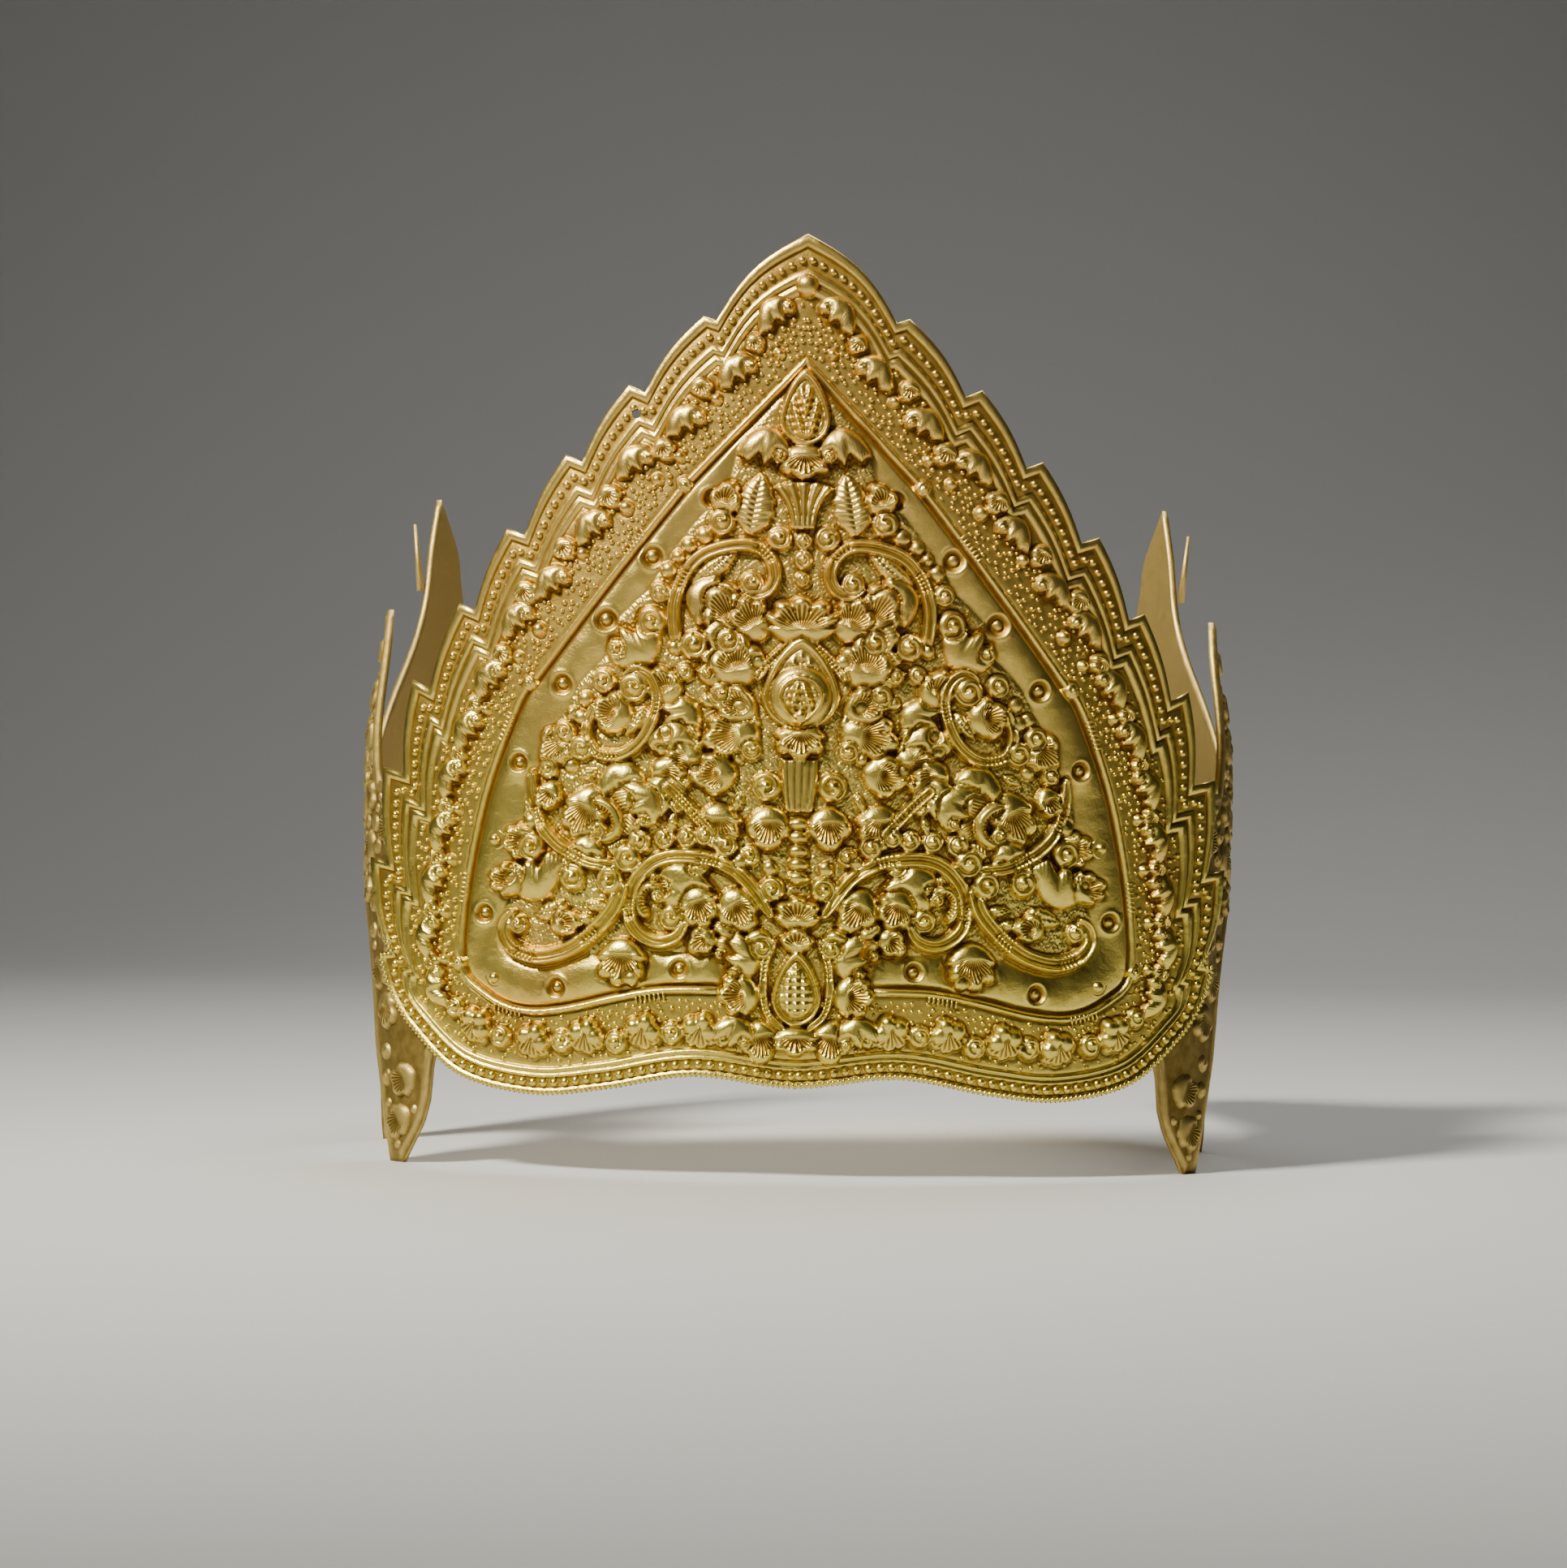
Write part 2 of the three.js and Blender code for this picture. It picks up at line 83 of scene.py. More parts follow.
def blend(start: float, end: float, share: float) -> float:
    """Return the value a share of the way from start to end."""
    return start + (end - start) * share


def curve_through(spots: Sequence[Spot], pieces: int) -> list[Spot]:
    """Run a smooth curve through the spots.

    Args:
        spots: points the curve passes through, in order.
        pieces: straight pieces between two neighbouring spots.

    Returns:
        The points along the curve, both ends included.
    """
    last = len(spots) - 1
    run: list[Spot] = []
    for index in range(last):
        before = spots[max(0, index - 1)]
        start, end = spots[index], spots[index + 1]
        after = spots[min(last, index + 2)]
        for piece in range(pieces):
            share = piece / pieces
            run.append(tuple(
                0.5 * (2 * b + (c - a) * share + (2 * a - 5 * b + 4 * c - d) * share ** 2
                       + (3 * b - a - 3 * c + d) * share ** 3)
                for a, b, c, d in zip(before, start, end, after)))
    run.append(tuple(spots[last]))
    return run


def even_steps(spots: Sequence[Spot], pitch: float) -> list[tuple[float, float, float]]:
    """Walk along a line of spots at an even pitch.

    Args:
        spots: points of the line.
        pitch: distance between two steps.

    Returns:
        Rows of across, up and heading in radians.
    """
    rows: list[tuple[float, float, float]] = []
    carried = pitch / 2
    for start, end in zip(spots, spots[1:]):
        length = math.dist(start, end)
        heading = math.atan2(end[1] - start[1], end[0] - start[0])
        while carried < length:
            share = carried / length
            rows.append((blend(start[0], end[0], share), blend(start[1], end[1], share), heading))
            carried += pitch
        carried -= length
    return rows


def nearest(spot: Spot, line: Sequence[Spot]) -> float:
    """Return the distance from a spot to a line of spots."""
    best = 1e9
    for start, end in zip(line, line[1:]):
        run = (end[0] - start[0], end[1] - start[1])
        length = run[0] ** 2 + run[1] ** 2 or 1e-9
        share = ((spot[0] - start[0]) * run[0] + (spot[1] - start[1]) * run[1]) / length
        share = min(1.0, max(0.0, share))
        best = min(best, math.dist(spot, (start[0] + run[0] * share, start[1] + run[1] * share)))
    return best


def inside(spot: Spot, loop: Sequence[Spot]) -> bool:
    """Tell whether a spot lies inside a closed loop."""
    hit = False
    for start, end in zip(loop, list(loop[1:]) + [loop[0]]):
        if (start[1] > spot[1]) != (end[1] > spot[1]):
            cut = start[0] + (spot[1] - start[1]) * (end[0] - start[0]) / (end[1] - start[1])
            hit ^= spot[0] < cut
    return hit


def both_halves(right: Sequence[Spot]) -> list[Spot]:
    """Close a right half, given from top to bottom on the axis, into a full loop."""
    return list(right) + [(-across, up) for across, up in reversed(right[1:-1])]


# ---------------------------------------------------------------- finishes

class Tone:
    """A shader value that takes part in Python arithmetic."""

    def __init__(self, bench: "Bench", socket: bpy.types.NodeSocket | None) -> None:
        """Keep the bench and the socket."""
        self.bench = bench
        self.socket = socket

    def _maths(self, operation: str, first: Any, second: Any) -> "Tone":
        """Add a Math node for two values."""
        return self.bench.make("ShaderNodeMath", {"operation": operation}, {0: first, 1: second})

    def __add__(self, other: Any) -> "Tone":
        """Add."""
        return self._maths("ADD", self, other)

    __radd__ = __add__

    def __mul__(self, other: Any) -> "Tone":
        """Multiply."""
        return self._maths("MULTIPLY", self, other)

    __rmul__ = __mul__

    def __sub__(self, other: Any) -> "Tone":
        """Subtract."""
        return self._maths("SUBTRACT", self, other)

    def __rsub__(self, other: Any) -> "Tone":
        """Subtract from a value on the left."""
        return self._maths("SUBTRACT", other, self)


class Bench:
    """Makes the nodes of one material."""

    def __init__(self, name: str) -> None:
        """Start an empty node material."""
        self.material = bpy.data.materials.new(name)
        self.material.use_nodes = True
        self.tree = self.material.node_tree
        self.tree.nodes.clear()

    def make(self, kind: str, settings: dict[str, Any] | None = None,
             inputs: dict[Any, Any] | None = None, output: Any = 0) -> Tone:
        """Add a node.

        Args:
            kind: node type.
            settings: node properties, or a list of (place, colour) under "stops".
            inputs: values or tones by socket name or number.
            output: name or number of the output that is returned.

        Returns:
            The chosen output as a tone.
        """
        node = self.tree.nodes.new(kind)
        for name, value in (settings or {}).items():
            if name == "stops":
                ramp = node.color_ramp
                while len(ramp.elements) < len(value):
                    ramp.elements.new(0.5)
                for element, (place, colour) in zip(ramp.elements, value):
                    element.position = place
                    element.color = (*colour, 1.0)
            else:
                setattr(node, name, value)
        for name, value in (inputs or {}).items():
            if isinstance(value, Tone):
                self.tree.links.new(value.socket, node.inputs[name])
            else:
                node.inputs[name].default_value = value
        return Tone(self, node.outputs[output] if node.outputs else None)

    def step(self, value: Tone, low: float, high: float) -> Tone:
        """Return a smooth step of value between low and high."""
        return self.make("ShaderNodeMapRange", {"interpolation_type": "SMOOTHSTEP"},
                         {"Value": value, "From Min": low, "From Max": high})

    def noise(self, place: Tone, scale: float, detail: float) -> Tone:
        """Return noise at a scale per metre."""
        return self.make("ShaderNodeTexNoise", {"normalize": True},
                         {"Vector": place, "Scale": scale, "Detail": detail, "Roughness": 0.55})

    def mix(self, share: Tone, first: Any, second: Any) -> Tone:
        """Mix two colours by share."""
        colours = {6: (*first, 1.0) if isinstance(first, tuple) else first,
                   7: (*second, 1.0) if isinstance(second, tuple) else second}
        return self.make("ShaderNodeMix", {"data_type": "RGBA"}, {0: share, **colours}, 2)


@dataclass(frozen=True)
class GoldFinish:
    """Beaten gold sheet, its base colour carrying painted shade: bright on the high places, dark brown in the
    hollows, grooves and under lips, where shade falls.
    """

    name: str
    bright: tuple[float, float, float] = (0.81, 0.65, 0.13)
    # upper colour: partly a duller, more orange surface, partly painted light standing in for the light that
    # leaves the lower part brighter and yellower
    upper_dull_and_painted_light: tuple[float, float, float] = (0.84, 0.595, 0.15)
    # dark brown of the painted shade, mixed in where the height attribute is low
    hollow: tuple[float, float, float] = (0.255, 0.125, 0.010)
    blush: tuple[float, float, float] = (0.70, 0.34, 0.08)
    shine: float = 0.235
    dull: float = 0.08
    upper_dull_and_painted_light_from: float = 0.075
    upper_dull_and_painted_light_to: float = 0.165
    # height attribute values over which the painted shade gives way to the metal
    hollow_from: float = 0.12
    hollow_to: float = 0.68
    grain: float = 0.00010
    rib_depth: float = 2.2
    # x, z and radius of a pricked hole, in metres
    hole: tuple[float, float, float] = (0.0, -1.0, 0.0)

    def build(self) -> bpy.types.Material:
        """Return the finished material."""
        bench = Bench(self.name)
        place = bench.make("ShaderNodeTexCoord", output="Object")
        out = bench.make("ShaderNodeSeparateXYZ", None, {0: place}, 0)
        up = bench.make("ShaderNodeSeparateXYZ", None, {0: place}, 2)
        height = bench.make("ShaderNodeAttribute", {"attribute_name": "height"}, None, "Fac")
        clouds = bench.noise(place, 55.0, 4.0)
        specks = bench.noise(place, 420.0, 5.0)
        fine = bench.noise(place, 2600.0, 2.0)
        # painted light from top to bottom, with a duller surface on top: the upper colour takes over with
        # height
        upper_dull_and_painted_light_share = bench.step(up + 0.05 * clouds, self.upper_dull_and_painted_light_from, self.upper_dull_and_painted_light_to)
        phase = bench.make("ShaderNodeAttribute", {"attribute_name": "phase"}, None, "Fac")
        ribs = bench.make("ShaderNodeAttribute", {"attribute_name": "ribs"}, None, "Fac")
        wave = bench.make("ShaderNodeMath", {"operation": "COSINE"}, {0: phase * (2 * math.pi)})
        cut = ribs * (0.5 - 0.5 * wave)
        # painted shade: low height values and the rib grooves turn the colour to the hollow brown; the specks
        # add random tone
        unshaded_share = bench.step(height + 0.35 * specks - 0.18 - 0.45 * cut,
                           self.hollow_from, self.hollow_to)
        blush = bench.step(bench.noise(place, 24.0, 3.0), 0.58, 0.76)
        metal = bench.mix(upper_dull_and_painted_light_share, self.bright, self.upper_dull_and_painted_light)
        metal = bench.mix(0.35 * blush, metal, self.blush)
        colour = bench.mix(unshaded_share, self.hollow, metal)
        rough = self.shine + self.dull * upper_dull_and_painted_light_share + 0.18 * (1 - unshaded_share) + 0.10 * specks
        dents = bench.noise(place, 170.0, 2.0)
        beaten = bench.make("ShaderNodeBump", None, {
            "Strength": 1.0, "Distance": self.grain,
            "Height": fine * 0.5 + specks + 2.2 * dents - self.rib_depth * cut})
        aside, above = out - self.hole[0], up - self.hole[1]
        solid = bench.make("ShaderNodeMath", {"operation": "GREATER_THAN"},
                           {0: aside * aside + above * above, 1: self.hole[2] ** 2})
        metal_shader = bench.make("ShaderNodeBsdfPrincipled", None, {
            "Base Color": colour, "Metallic": 1.0, "Roughness": rough, "Normal": beaten,
            "Alpha": solid})
        bench.make("ShaderNodeOutputMaterial", None, {"Surface": metal_shader})
        return bench.material


@dataclass(frozen=True)
class StageFinish:
    """Plain pale studio paper."""

    name: str = "pale_paper"
    colour: tuple[float, float, float] = (0.55, 0.545, 0.53)

    def build(self) -> bpy.types.Material:
        """Return the finished material."""
        bench = Bench(self.name)
        paper = bench.make("ShaderNodeBsdfPrincipled", None, {
            "Base Color": (*self.colour, 1.0), "Roughness": 0.85})
        bench.make("ShaderNodeOutputMaterial", None, {"Surface": paper})
        return bench.material


# ---------------------------------------------------------------- sheets that ornament sits on

class Sheet:
    """A curved sheet on which places are given as across, up and lift in millimetres."""

    handed = 1

    def place(self, across: float, up: float, lift: float) -> Vector:
        """Return the point in metres."""
        raise NotImplementedError


@dataclass
class FrontSheet(Sheet):
    """The front plate's sheet, bent round an upright cylinder."""

    radius: float = 150.0

    def place(self, across: float, up: float, lift: float) -> Vector:
        """Return the point in metres."""
        turn = across / self.radius
        reach = self.radius + lift
        return Vector((reach * math.sin(turn), self.radius - reach * math.cos(turn) - DEPTH_CENTRE,
                       up)) * MM


@dataclass
class SideSheet(Sheet):
    """A side plate's sheet: across runs from the widest place, rearward positive."""

    half: Half = Half.RIGHT
    # length forward of the widest place, radius, centre across, centre depth
    arcs: tuple[tuple[float, float, float, float], ...] = (
        (22.97, 47.0, 45.0, 56.16), (17.87, 32.0, 58.25, 49.11), (30.0, 148.5, 0.0, 150.0))
    rear_radius: float = 150.0
    rear_centre: tuple[float, float] = (-58.0, 56.16)
    lobe_lean: float = 3.6
    lobe_from: float = 84.0
    lobe_to: float = 116.0
    lobe_span: tuple[float, float] = (-17.0, 7.0)

    def __post_init__(self) -> None:
        """Set which way the sheet's faces turn."""
        self.handed = self.half.value

    def place(self, across: float, up: float, lift: float) -> Vector:
        """Return the point in metres."""
        turn = math.pi / 2
        if across >= 0:
            radius, centre = self.rear_radius, self.rear_centre
            turn += across / radius
        else:
            left = -across
            for index, (length, radius, *centre) in enumerate(self.arcs):
                if left <= length or index == len(self.arcs) - 1:
                    turn -= left / radius
                    break
                turn -= length / radius
                left -= length
        reach = radius + lift
        out = centre[0] + reach * math.sin(turn)
        depth = centre[1] - reach * math.cos(turn) - DEPTH_CENTRE
        if self.lobe_span[0] < across < self.lobe_span[1]:
            rise = ease((up - self.lobe_from) / (self.lobe_to - self.lobe_from))
            out -= self.lobe_lean * rise
        return Vector((self.half.value * out, depth, up)) * MM

    def across_at(self, depth: float) -> float:
        """Return the across of a build depth, found by halving."""
        low, high = -75.0, 125.0
        for _ in range(40):
            middle = (low + high) / 2
            if self.place(middle, 0.0, 0.0).y / MM + DEPTH_CENTRE < depth:
                low = middle
            else:
                high = middle
        return (low + high) / 2


# ---------------------------------------------------------------- ornament

@dataclass
class Seat:
    """Where one ornament sits: its foot, its heading in degrees and its half."""

    across: float
    up: float
    heading: float = 90.0
    side: int = 1
    lift: float = 0.0

    def spread(self, right: float, along: float) -> Spot:
        """Return the across and up of a place given right of and along the heading."""
        turn = math.radians(self.heading)
        across = self.across + right * math.sin(turn) + along * math.cos(turn)
        return self.side * across, self.up - right * math.cos(turn) + along * math.sin(turn)


class Places:
    """The round places on a sheet that ornament has taken."""

    cell = 4.0
    margin = 3.0

    def __init__(self) -> None:
        """Start with every place free."""
        self.cells: dict[tuple[int, int], list[tuple[float, float, float]]] = {}

    def take(self, across: float, up: float, radius: float) -> None:
        """Take a round place."""
        reach = radius + self.margin
        columns = range(int((across - reach) // self.cell), int((across + reach) // self.cell) + 1)
        levels = range(int((up - reach) // self.cell), int((up + reach) // self.cell) + 1)
        for column in columns:
            for level in levels:
                self.cells.setdefault((column, level), []).append((across, up, radius))

    def free(self, spot: Spot, radius: float) -> bool:
        """Tell whether a round place is still free."""
        key = (int(spot[0] // self.cell), int(spot[1] // self.cell))
        return all((spot[0] - across) ** 2 + (spot[1] - up) ** 2 > (radius + taken) ** 2
                   for across, up, taken in self.cells.get(key, ()))


class Relief:
    """Ornament raised on a sheet and gathered into one mesh."""

    skirt = -0.5

    def __init__(self, sheet: Sheet, places: Places | None = None) -> None:
        """Start with no ornament."""
        self.sheet = sheet
        self.mesh = bmesh.new()
        self.height = self.mesh.verts.layers.float.new("height")
        self.places = places or Places()

    def patch(self, seat: Seat, columns: int, rows: int, rise: float, shape: Shape) -> None:
        """Raise a grid into an ornament.

        Args:
            seat: where it sits.
            columns: pieces across the grid.
            rows: pieces along the grid.
            rise: height that counts as fully bright.
            shape: gives right, along and lift for a place on the grid.
        """
        grid = bmesh.ops.create_grid(self.mesh, x_segments=columns, y_segments=rows, size=1.0)
        faces: set[bmesh.types.BMFace] = set()
        for vert in grid["verts"]:
            right, along, lift = shape(vert.co.x, 0.5 + 0.5 * vert.co.y)
            across, up = seat.spread(right, along)
            vert.co = self.sheet.place(across, up, seat.lift + lift)
            # painted shade: low places of the ornament are painted darker, high places brighter
            vert[self.height] = 0.2 + 0.8 * min(1.0, max(0.0, lift / rise))
            faces.update(vert.link_faces)
        if seat.side * self.sheet.handed < 0:
            bmesh.ops.reverse_faces(self.mesh, faces=list(faces))

    def round_patch(self, seat: Seat, turns: int, rings: int, rise: float,
                    shape: Callable[[float, float], tuple[float, float, float]]) -> None:
        """Raise a disc into an ornament.

        Args:
            seat: where it sits.
            turns: pieces round the disc.
            rings: pieces from the middle to the rim.
            rise: height that counts as fully bright.
            shape: gives right, along and lift for an angle from the heading and a share of the
                way out.
        """
        self.patch(seat, turns, rings, rise, lambda turn, out: shape(math.pi * turn, out))

    def grain(self, spot: Spot, radius: float, lift: float, finer: int = 1) -> None:
        """Set one small bead on the sheet."""
        ball = bmesh.ops.create_icosphere(self.mesh, subdivisions=finer, radius=radius)
        for vert in ball["verts"]:
            share = 0.5 + 0.5 * vert.co.z / radius
            offset = vert.co.copy()
            vert.co = self.sheet.place(spot[0] + offset.x, spot[1] + offset.y, lift + offset.z)
            # painted shade: each bead is painted darker towards its foot
            vert[self.height] = 0.15 + 0.85 * share
        if self.sheet.handed < 0:
            faces = {face for vert in ball["verts"] for face in vert.link_faces}
            bmesh.ops.reverse_faces(self.mesh, faces=list(faces))

    def finish(self, name: str, material: bpy.types.Material, slot: Slot,
               smooth: bool = True) -> bpy.types.Object:
        """Close the ornament's undersides and make it a piece.

        Args:
            name: piece name.
            material: its finish.
            slot: not used.
            smooth: shade its faces smooth.

        Returns:
            The piece.
        """
        bmesh.ops.remove_doubles(self.mesh, verts=self.mesh.verts, dist=1e-7)
        open_edges = [edge for edge in self.mesh.edges if edge.is_boundary]
        bmesh.ops.holes_fill(self.mesh, edges=open_edges, sides=0)
        return as_piece(name, self.mesh, material, smooth)


class Chasing:
    """Ornament chased into one sheet: forms are pushed up on an even grid, the last on top."""

    floor = -0.9
    slope = 1.6
    merge = 7
    # painted shade of level places, and how much brighter raised places and darker recesses are painted
    tone = 0.66
    relief = 0.46

    def __init__(self, sheet: Sheet, across: Spot, up: Spot, pitch: float, seed: int) -> None:
        """Start with a flat sheet.

        Args:
            sheet: the sheet that carries the ornament.
            across: lowest and highest across; the lowest is 0 where the halves meet.
            up: lowest and highest up.
            pitch: distance between grid lines.
            seed: seed of the stippling.
        """
        self.sheet = sheet
        self.pitch = pitch
        self.start = (across[0], up[0])
        columns = int(round((across[1] - across[0]) / pitch)) + 1
        rows = int(round((up[1] - up[0]) / pitch)) + 1
        self.across, self.up = np.meshgrid(across[0] + pitch * np.arange(columns),
                                           up[0] + pitch * np.arange(rows))
        self.lift = np.full(self.across.shape, self.floor)
        self.chance = np.random.default_rng(seed)
        # how plainly fine ribs show, and how many ribs lie before a place
        self.ribs = np.zeros(self.across.shape)
        self.phase = np.zeros(self.across.shape)
        # painted shade: how much darker each place is painted, under lips, in dishes and on the vine band's
        # ground
        self.painted_shade = np.zeros(self.across.shape)

    def window(self, across: float, up: float, reach: float) -> tuple[slice, slice]:
        """Return the part of the grid within reach of a spot."""
        rows, columns = self.lift.shape
        left = int((across - reach - self.start[0]) / self.pitch)
        low = int((up - reach - self.start[1]) / self.pitch)
        size = int(2 * reach / self.pitch) + 2
        return (slice(max(0, low), max(0, min(rows, low + size))),
                slice(max(0, left), max(0, min(columns, left + size))))

    def local(self, seat: Seat, part: tuple[slice, slice]) -> tuple[np.ndarray, np.ndarray]:
        """Return right of and along the seat's heading for a part of the grid."""
        turn = math.radians(seat.heading)
        out, rise = self.across[part] - seat.across, self.up[part] - seat.up
        return (out * math.sin(turn) - rise * math.cos(turn),
                out * math.cos(turn) + rise * math.sin(turn))

    def push(self, part: tuple[slice, slice], beyond: np.ndarray, height: np.ndarray,
             groove: float | np.ndarray = 0.35, ribs: float | np.ndarray = 0.0,
             phase: float | np.ndarray = 0.0) -> None:
        """Push a form up over what lies there and chase a groove round it.

        Args:
            part: part of the grid.
            beyond: distance outside the form's edge, negative inside.
            height: lift inside the form.
            groove: depth of the groove.
            ribs: how plainly fine ribs show.
            phase: count of ribs before each place.
        """
        before = self.lift[part]
        ring = np.clip(1 - beyond / 0.8, 0.0, 1.0) * (before > -0.2)
        around = np.maximum(before - groove * ring, -self.slope * beyond)
        over = np.maximum(height, 0.4 * before + 0.1)
        self.lift[part] = np.maximum(self.floor, np.where(beyond < 0, over, around))
        self.ribs[part] = np.where(beyond < 0, ribs, self.ribs[part])
        self.phase[part] = np.where(beyond < 0, phase, self.phase[part])
        # a form pushed up over a place takes away the painted shade there
        self.painted_shade[part] = np.where(beyond < 0, 0.0, self.painted_shade[part])

    def clear(self, spot: Spot, radius: float, level: float) -> bool:
        """Tell whether nothing round a spot stands above a level."""
        part = self.lift[self.window(spot[0], spot[1], radius)]
        return part.size > 0 and float(part.max()) < level

    def distance(self, loop: Sequence[Spot]) -> np.ndarray:
        """Return the distance to a loop all over the grid, negative outside it."""
        away = np.full(self.lift.shape, 1e9)
        hit = np.zeros(self.lift.shape, dtype=bool)
        for start, end in zip(loop, list(loop[1:]) + [loop[0]]):
            run = (end[0] - start[0], end[1] - start[1])
            length = run[0] ** 2 + run[1] ** 2 or 1e-9
            share = ((self.across - start[0]) * run[0] + (self.up - start[1]) * run[1]) / length
            share = np.clip(share, 0.0, 1.0)
            away = np.minimum(away, np.hypot(self.across - start[0] - run[0] * share,
                                             self.up - start[1] - run[1] * share))
            if start[1] != end[1]:
                cut = start[0] + (self.up - start[1]) * run[0] / run[1]
                hit ^= ((start[1] > self.up) != (end[1] > self.up)) & (self.across < cut)
        return np.where(hit, away, -away)

    def dome(self, seat: Seat, radius: float, rise: float) -> None:
        """Push up a plain round dome."""
        part = self.window(seat.across, seat.up, radius + 1.2)
        right, along = self.local(seat, part)
        out = np.hypot(right, along) / radius
        self.push(part, (out - 1) * radius, seat.lift + rise * np.sqrt(np.clip(1 - out ** 2, 0, 1)))

    def collar(self, seat: Seat, wide: float, tall: float, rise: float) -> None:
        """Push up a short collar across the heading."""
        part = self.window(seat.across, seat.up, wide + 1.2)
        height, beyond = self.lumps(*self.local(seat, part), ((0.0, 0.0, wide, tall, 0.0, 1.0),))
        self.push(part, beyond, seat.lift + rise * height)

    def dish(self, seat: Seat, radius: float, bead: float) -> None:
        """Punch a round dish into the sheet and leave a bead in the middle of it."""
        part = self.window(seat.across, seat.up, radius + 1.6)
        right, along = self.local(seat, part)
        out = np.hypot(right, along)
        hollow = -1.30 * np.clip(1 - (out / radius) ** 2, 0, 1)
        lip = 0.20 * np.exp(-((out - 1.12 * radius) / (0.20 * radius)) ** 2)
        pearl = 1.15 * np.sqrt(np.clip(1 - (out / bead) ** 2, 0, 1))
        self.lift[part] = np.maximum(self.lift[part] + hollow, -0.7) + lip + pearl
        # painted shade inside the dish, between its rim and the bead
        self.painted_shade[part] = 0.28 * ((out < 0.95 * radius) & (out > 0.9 * bead))

    def volute(self, seat: Seat, radius: float, rise: float, hand: int = 1) -> None:
        """Push up a snail: a ridge winds round a bead and opens at the mouth."""
        part = self.window(seat.across, seat.up, radius + 1.2)
        right, along = self.local(seat, part)
        out = np.hypot(right, along) / radius
        turn = np.mod(hand * np.arctan2(right, along), 2 * math.pi) / (2 * math.pi)
        gap = np.exp(-((out - 0.28 - 0.46 * turn) / 0.10) ** 2)
        body = np.sqrt(np.clip(1 - (0.98 * out) ** 3.2, 0, 1))
        bead = 0.25 * np.exp(-(out / 0.24) ** 2)
        self.push(part, (out - 1) * radius, seat.lift + rise * (0.82 * body - 0.42 * gap + bead))

    def hood(self, seat: Seat, length: float, wide: float, rise: float, lobes: int = 4,
             bend: float = 0.0, lip: float = 1.0, under: float = 0.24) -> None:
        """Push up a cupped leaf: a smooth back, ribs that fan up the cup, a lip of plump lobes.

        Args:
            seat: middle of the leaf, heading to the lip.
            length: back to lip.
            wide: half width.
            rise: height of the back.
            lobes: lobes along the lip.
            bend: sideways shift of the lip.
            lip: height of the lip as a share of the back's.
            under: how dark the painted shadow under the lip is.
        """
        half = length / 2
        part = self.window(seat.across, seat.up, max(half, wide) + abs(bend) + 1.8)
        right, along = self.local(seat, part)
        ahead = along / half
        out = (right - bend * np.clip(ahead, -0.2, 1) ** 2) / wide
        turn = np.arctan2(out, ahead + 0.45)
        front = np.clip((1.75 - np.abs(turn)) / 0.4, 0, 1)
        plump = np.abs(np.sin(math.pi * lobes * (turn / 3.5 + 0.5))) ** 0.8
        taper = 1 - 0.30 * np.clip(-ahead, 0, 1) ** 2
        share = np.hypot(out / taper, ahead) / (1 - 0.24 * front * (1 - plump))
        dome = 0.96 * np.sqrt(np.clip(1 - np.hypot(out / taper, (ahead + 0.12) / 0.88) ** 2.4, 0, 1))
        crest = 0.62
        wall = 0.50 + 0.50 * np.clip(share / crest, 0, 1) ** 1.5
        roll = np.sqrt(np.clip(1 - (np.clip(share - crest, 0, 1) / (1 - crest)) ** 2, 0, 1))
        cup = lip * np.where(share < crest, wall, roll) * (1 - 0.34 * (1 - plump) * (share > 0.45))
        ease_in = np.clip((ahead + 0.36 + 0.35 * out ** 2) / 0.32, 0, 1)
        height = dome + (cup - dome) * ease_in * front
        count = max(5, round(2.3 * crest * min(half, wide) / 0.50))
        ribs = ease_in * front * np.clip((crest + 0.08 - share) / 0.10, 0, 1)
        beyond = (share - 1) * min(half, wide)
        self.push(part, beyond, seat.lift + rise * height, 0.35, ribs, count * turn / 2.3)
        # painted shadow beyond the lip
        hollow = front * (beyond > 0) * np.exp(-(beyond / (0.4 + 1.2 * under)) ** 2)
        self.painted_shade[part] = np.maximum(self.painted_shade[part], under * hollow)

    def wing(self, seat: Seat, length: float, wide: float, rise: float) -> None:
        """Push up a spread leaf: a domed back, a curl at one end, a jagged lip with a painted shadow under it.

        Args:
            seat: middle of the leaf, heading to the lip.
            length: back to lip.
            wide: half width.
            rise: height of the back.
        """
        half = length / 2
        part = self.window(seat.across, seat.up, max(half, wide) + 2.6)
        right, along = self.local(seat, part)
        ahead, out = along / half, right / wide
        droop = 0.55 * np.clip(-out, 0, 1) ** 2
        full = np.sqrt(np.clip(1 - np.abs(out) ** 2.3, 0, 1))
        tooth = 1 - np.abs(2 * np.mod(1.6 * out + 0.4 * out ** 2 + 0.2, 1.0) - 1)
        back, lip = droop - full, droop + full * (0.62 - 0.42 * (1 - tooth))
        share = np.clip((ahead - back) / np.maximum(lip - back, 0.05), 0, 1)
        swell = np.sqrt(1 - (1 - np.clip(share / 0.6, 0, 1)) ** 2)
        fall = 0.22 * np.clip((share - 0.6) / 0.4, 0, 1) ** 2
        crease = 0.22 * (1 - tooth) ** 2 * share
        height = rise * (0.25 + 0.75 * full) * np.clip(swell - fall - crease, 0.2, 1)
        beyond = np.maximum(np.maximum(ahead - lip, back - ahead) * half, (np.abs(out) - 1) * wide)
        self.push(part, beyond, seat.lift + height, 0.25, 0.35 * np.clip(share - 0.4, 0, 1), 9.0 * out)
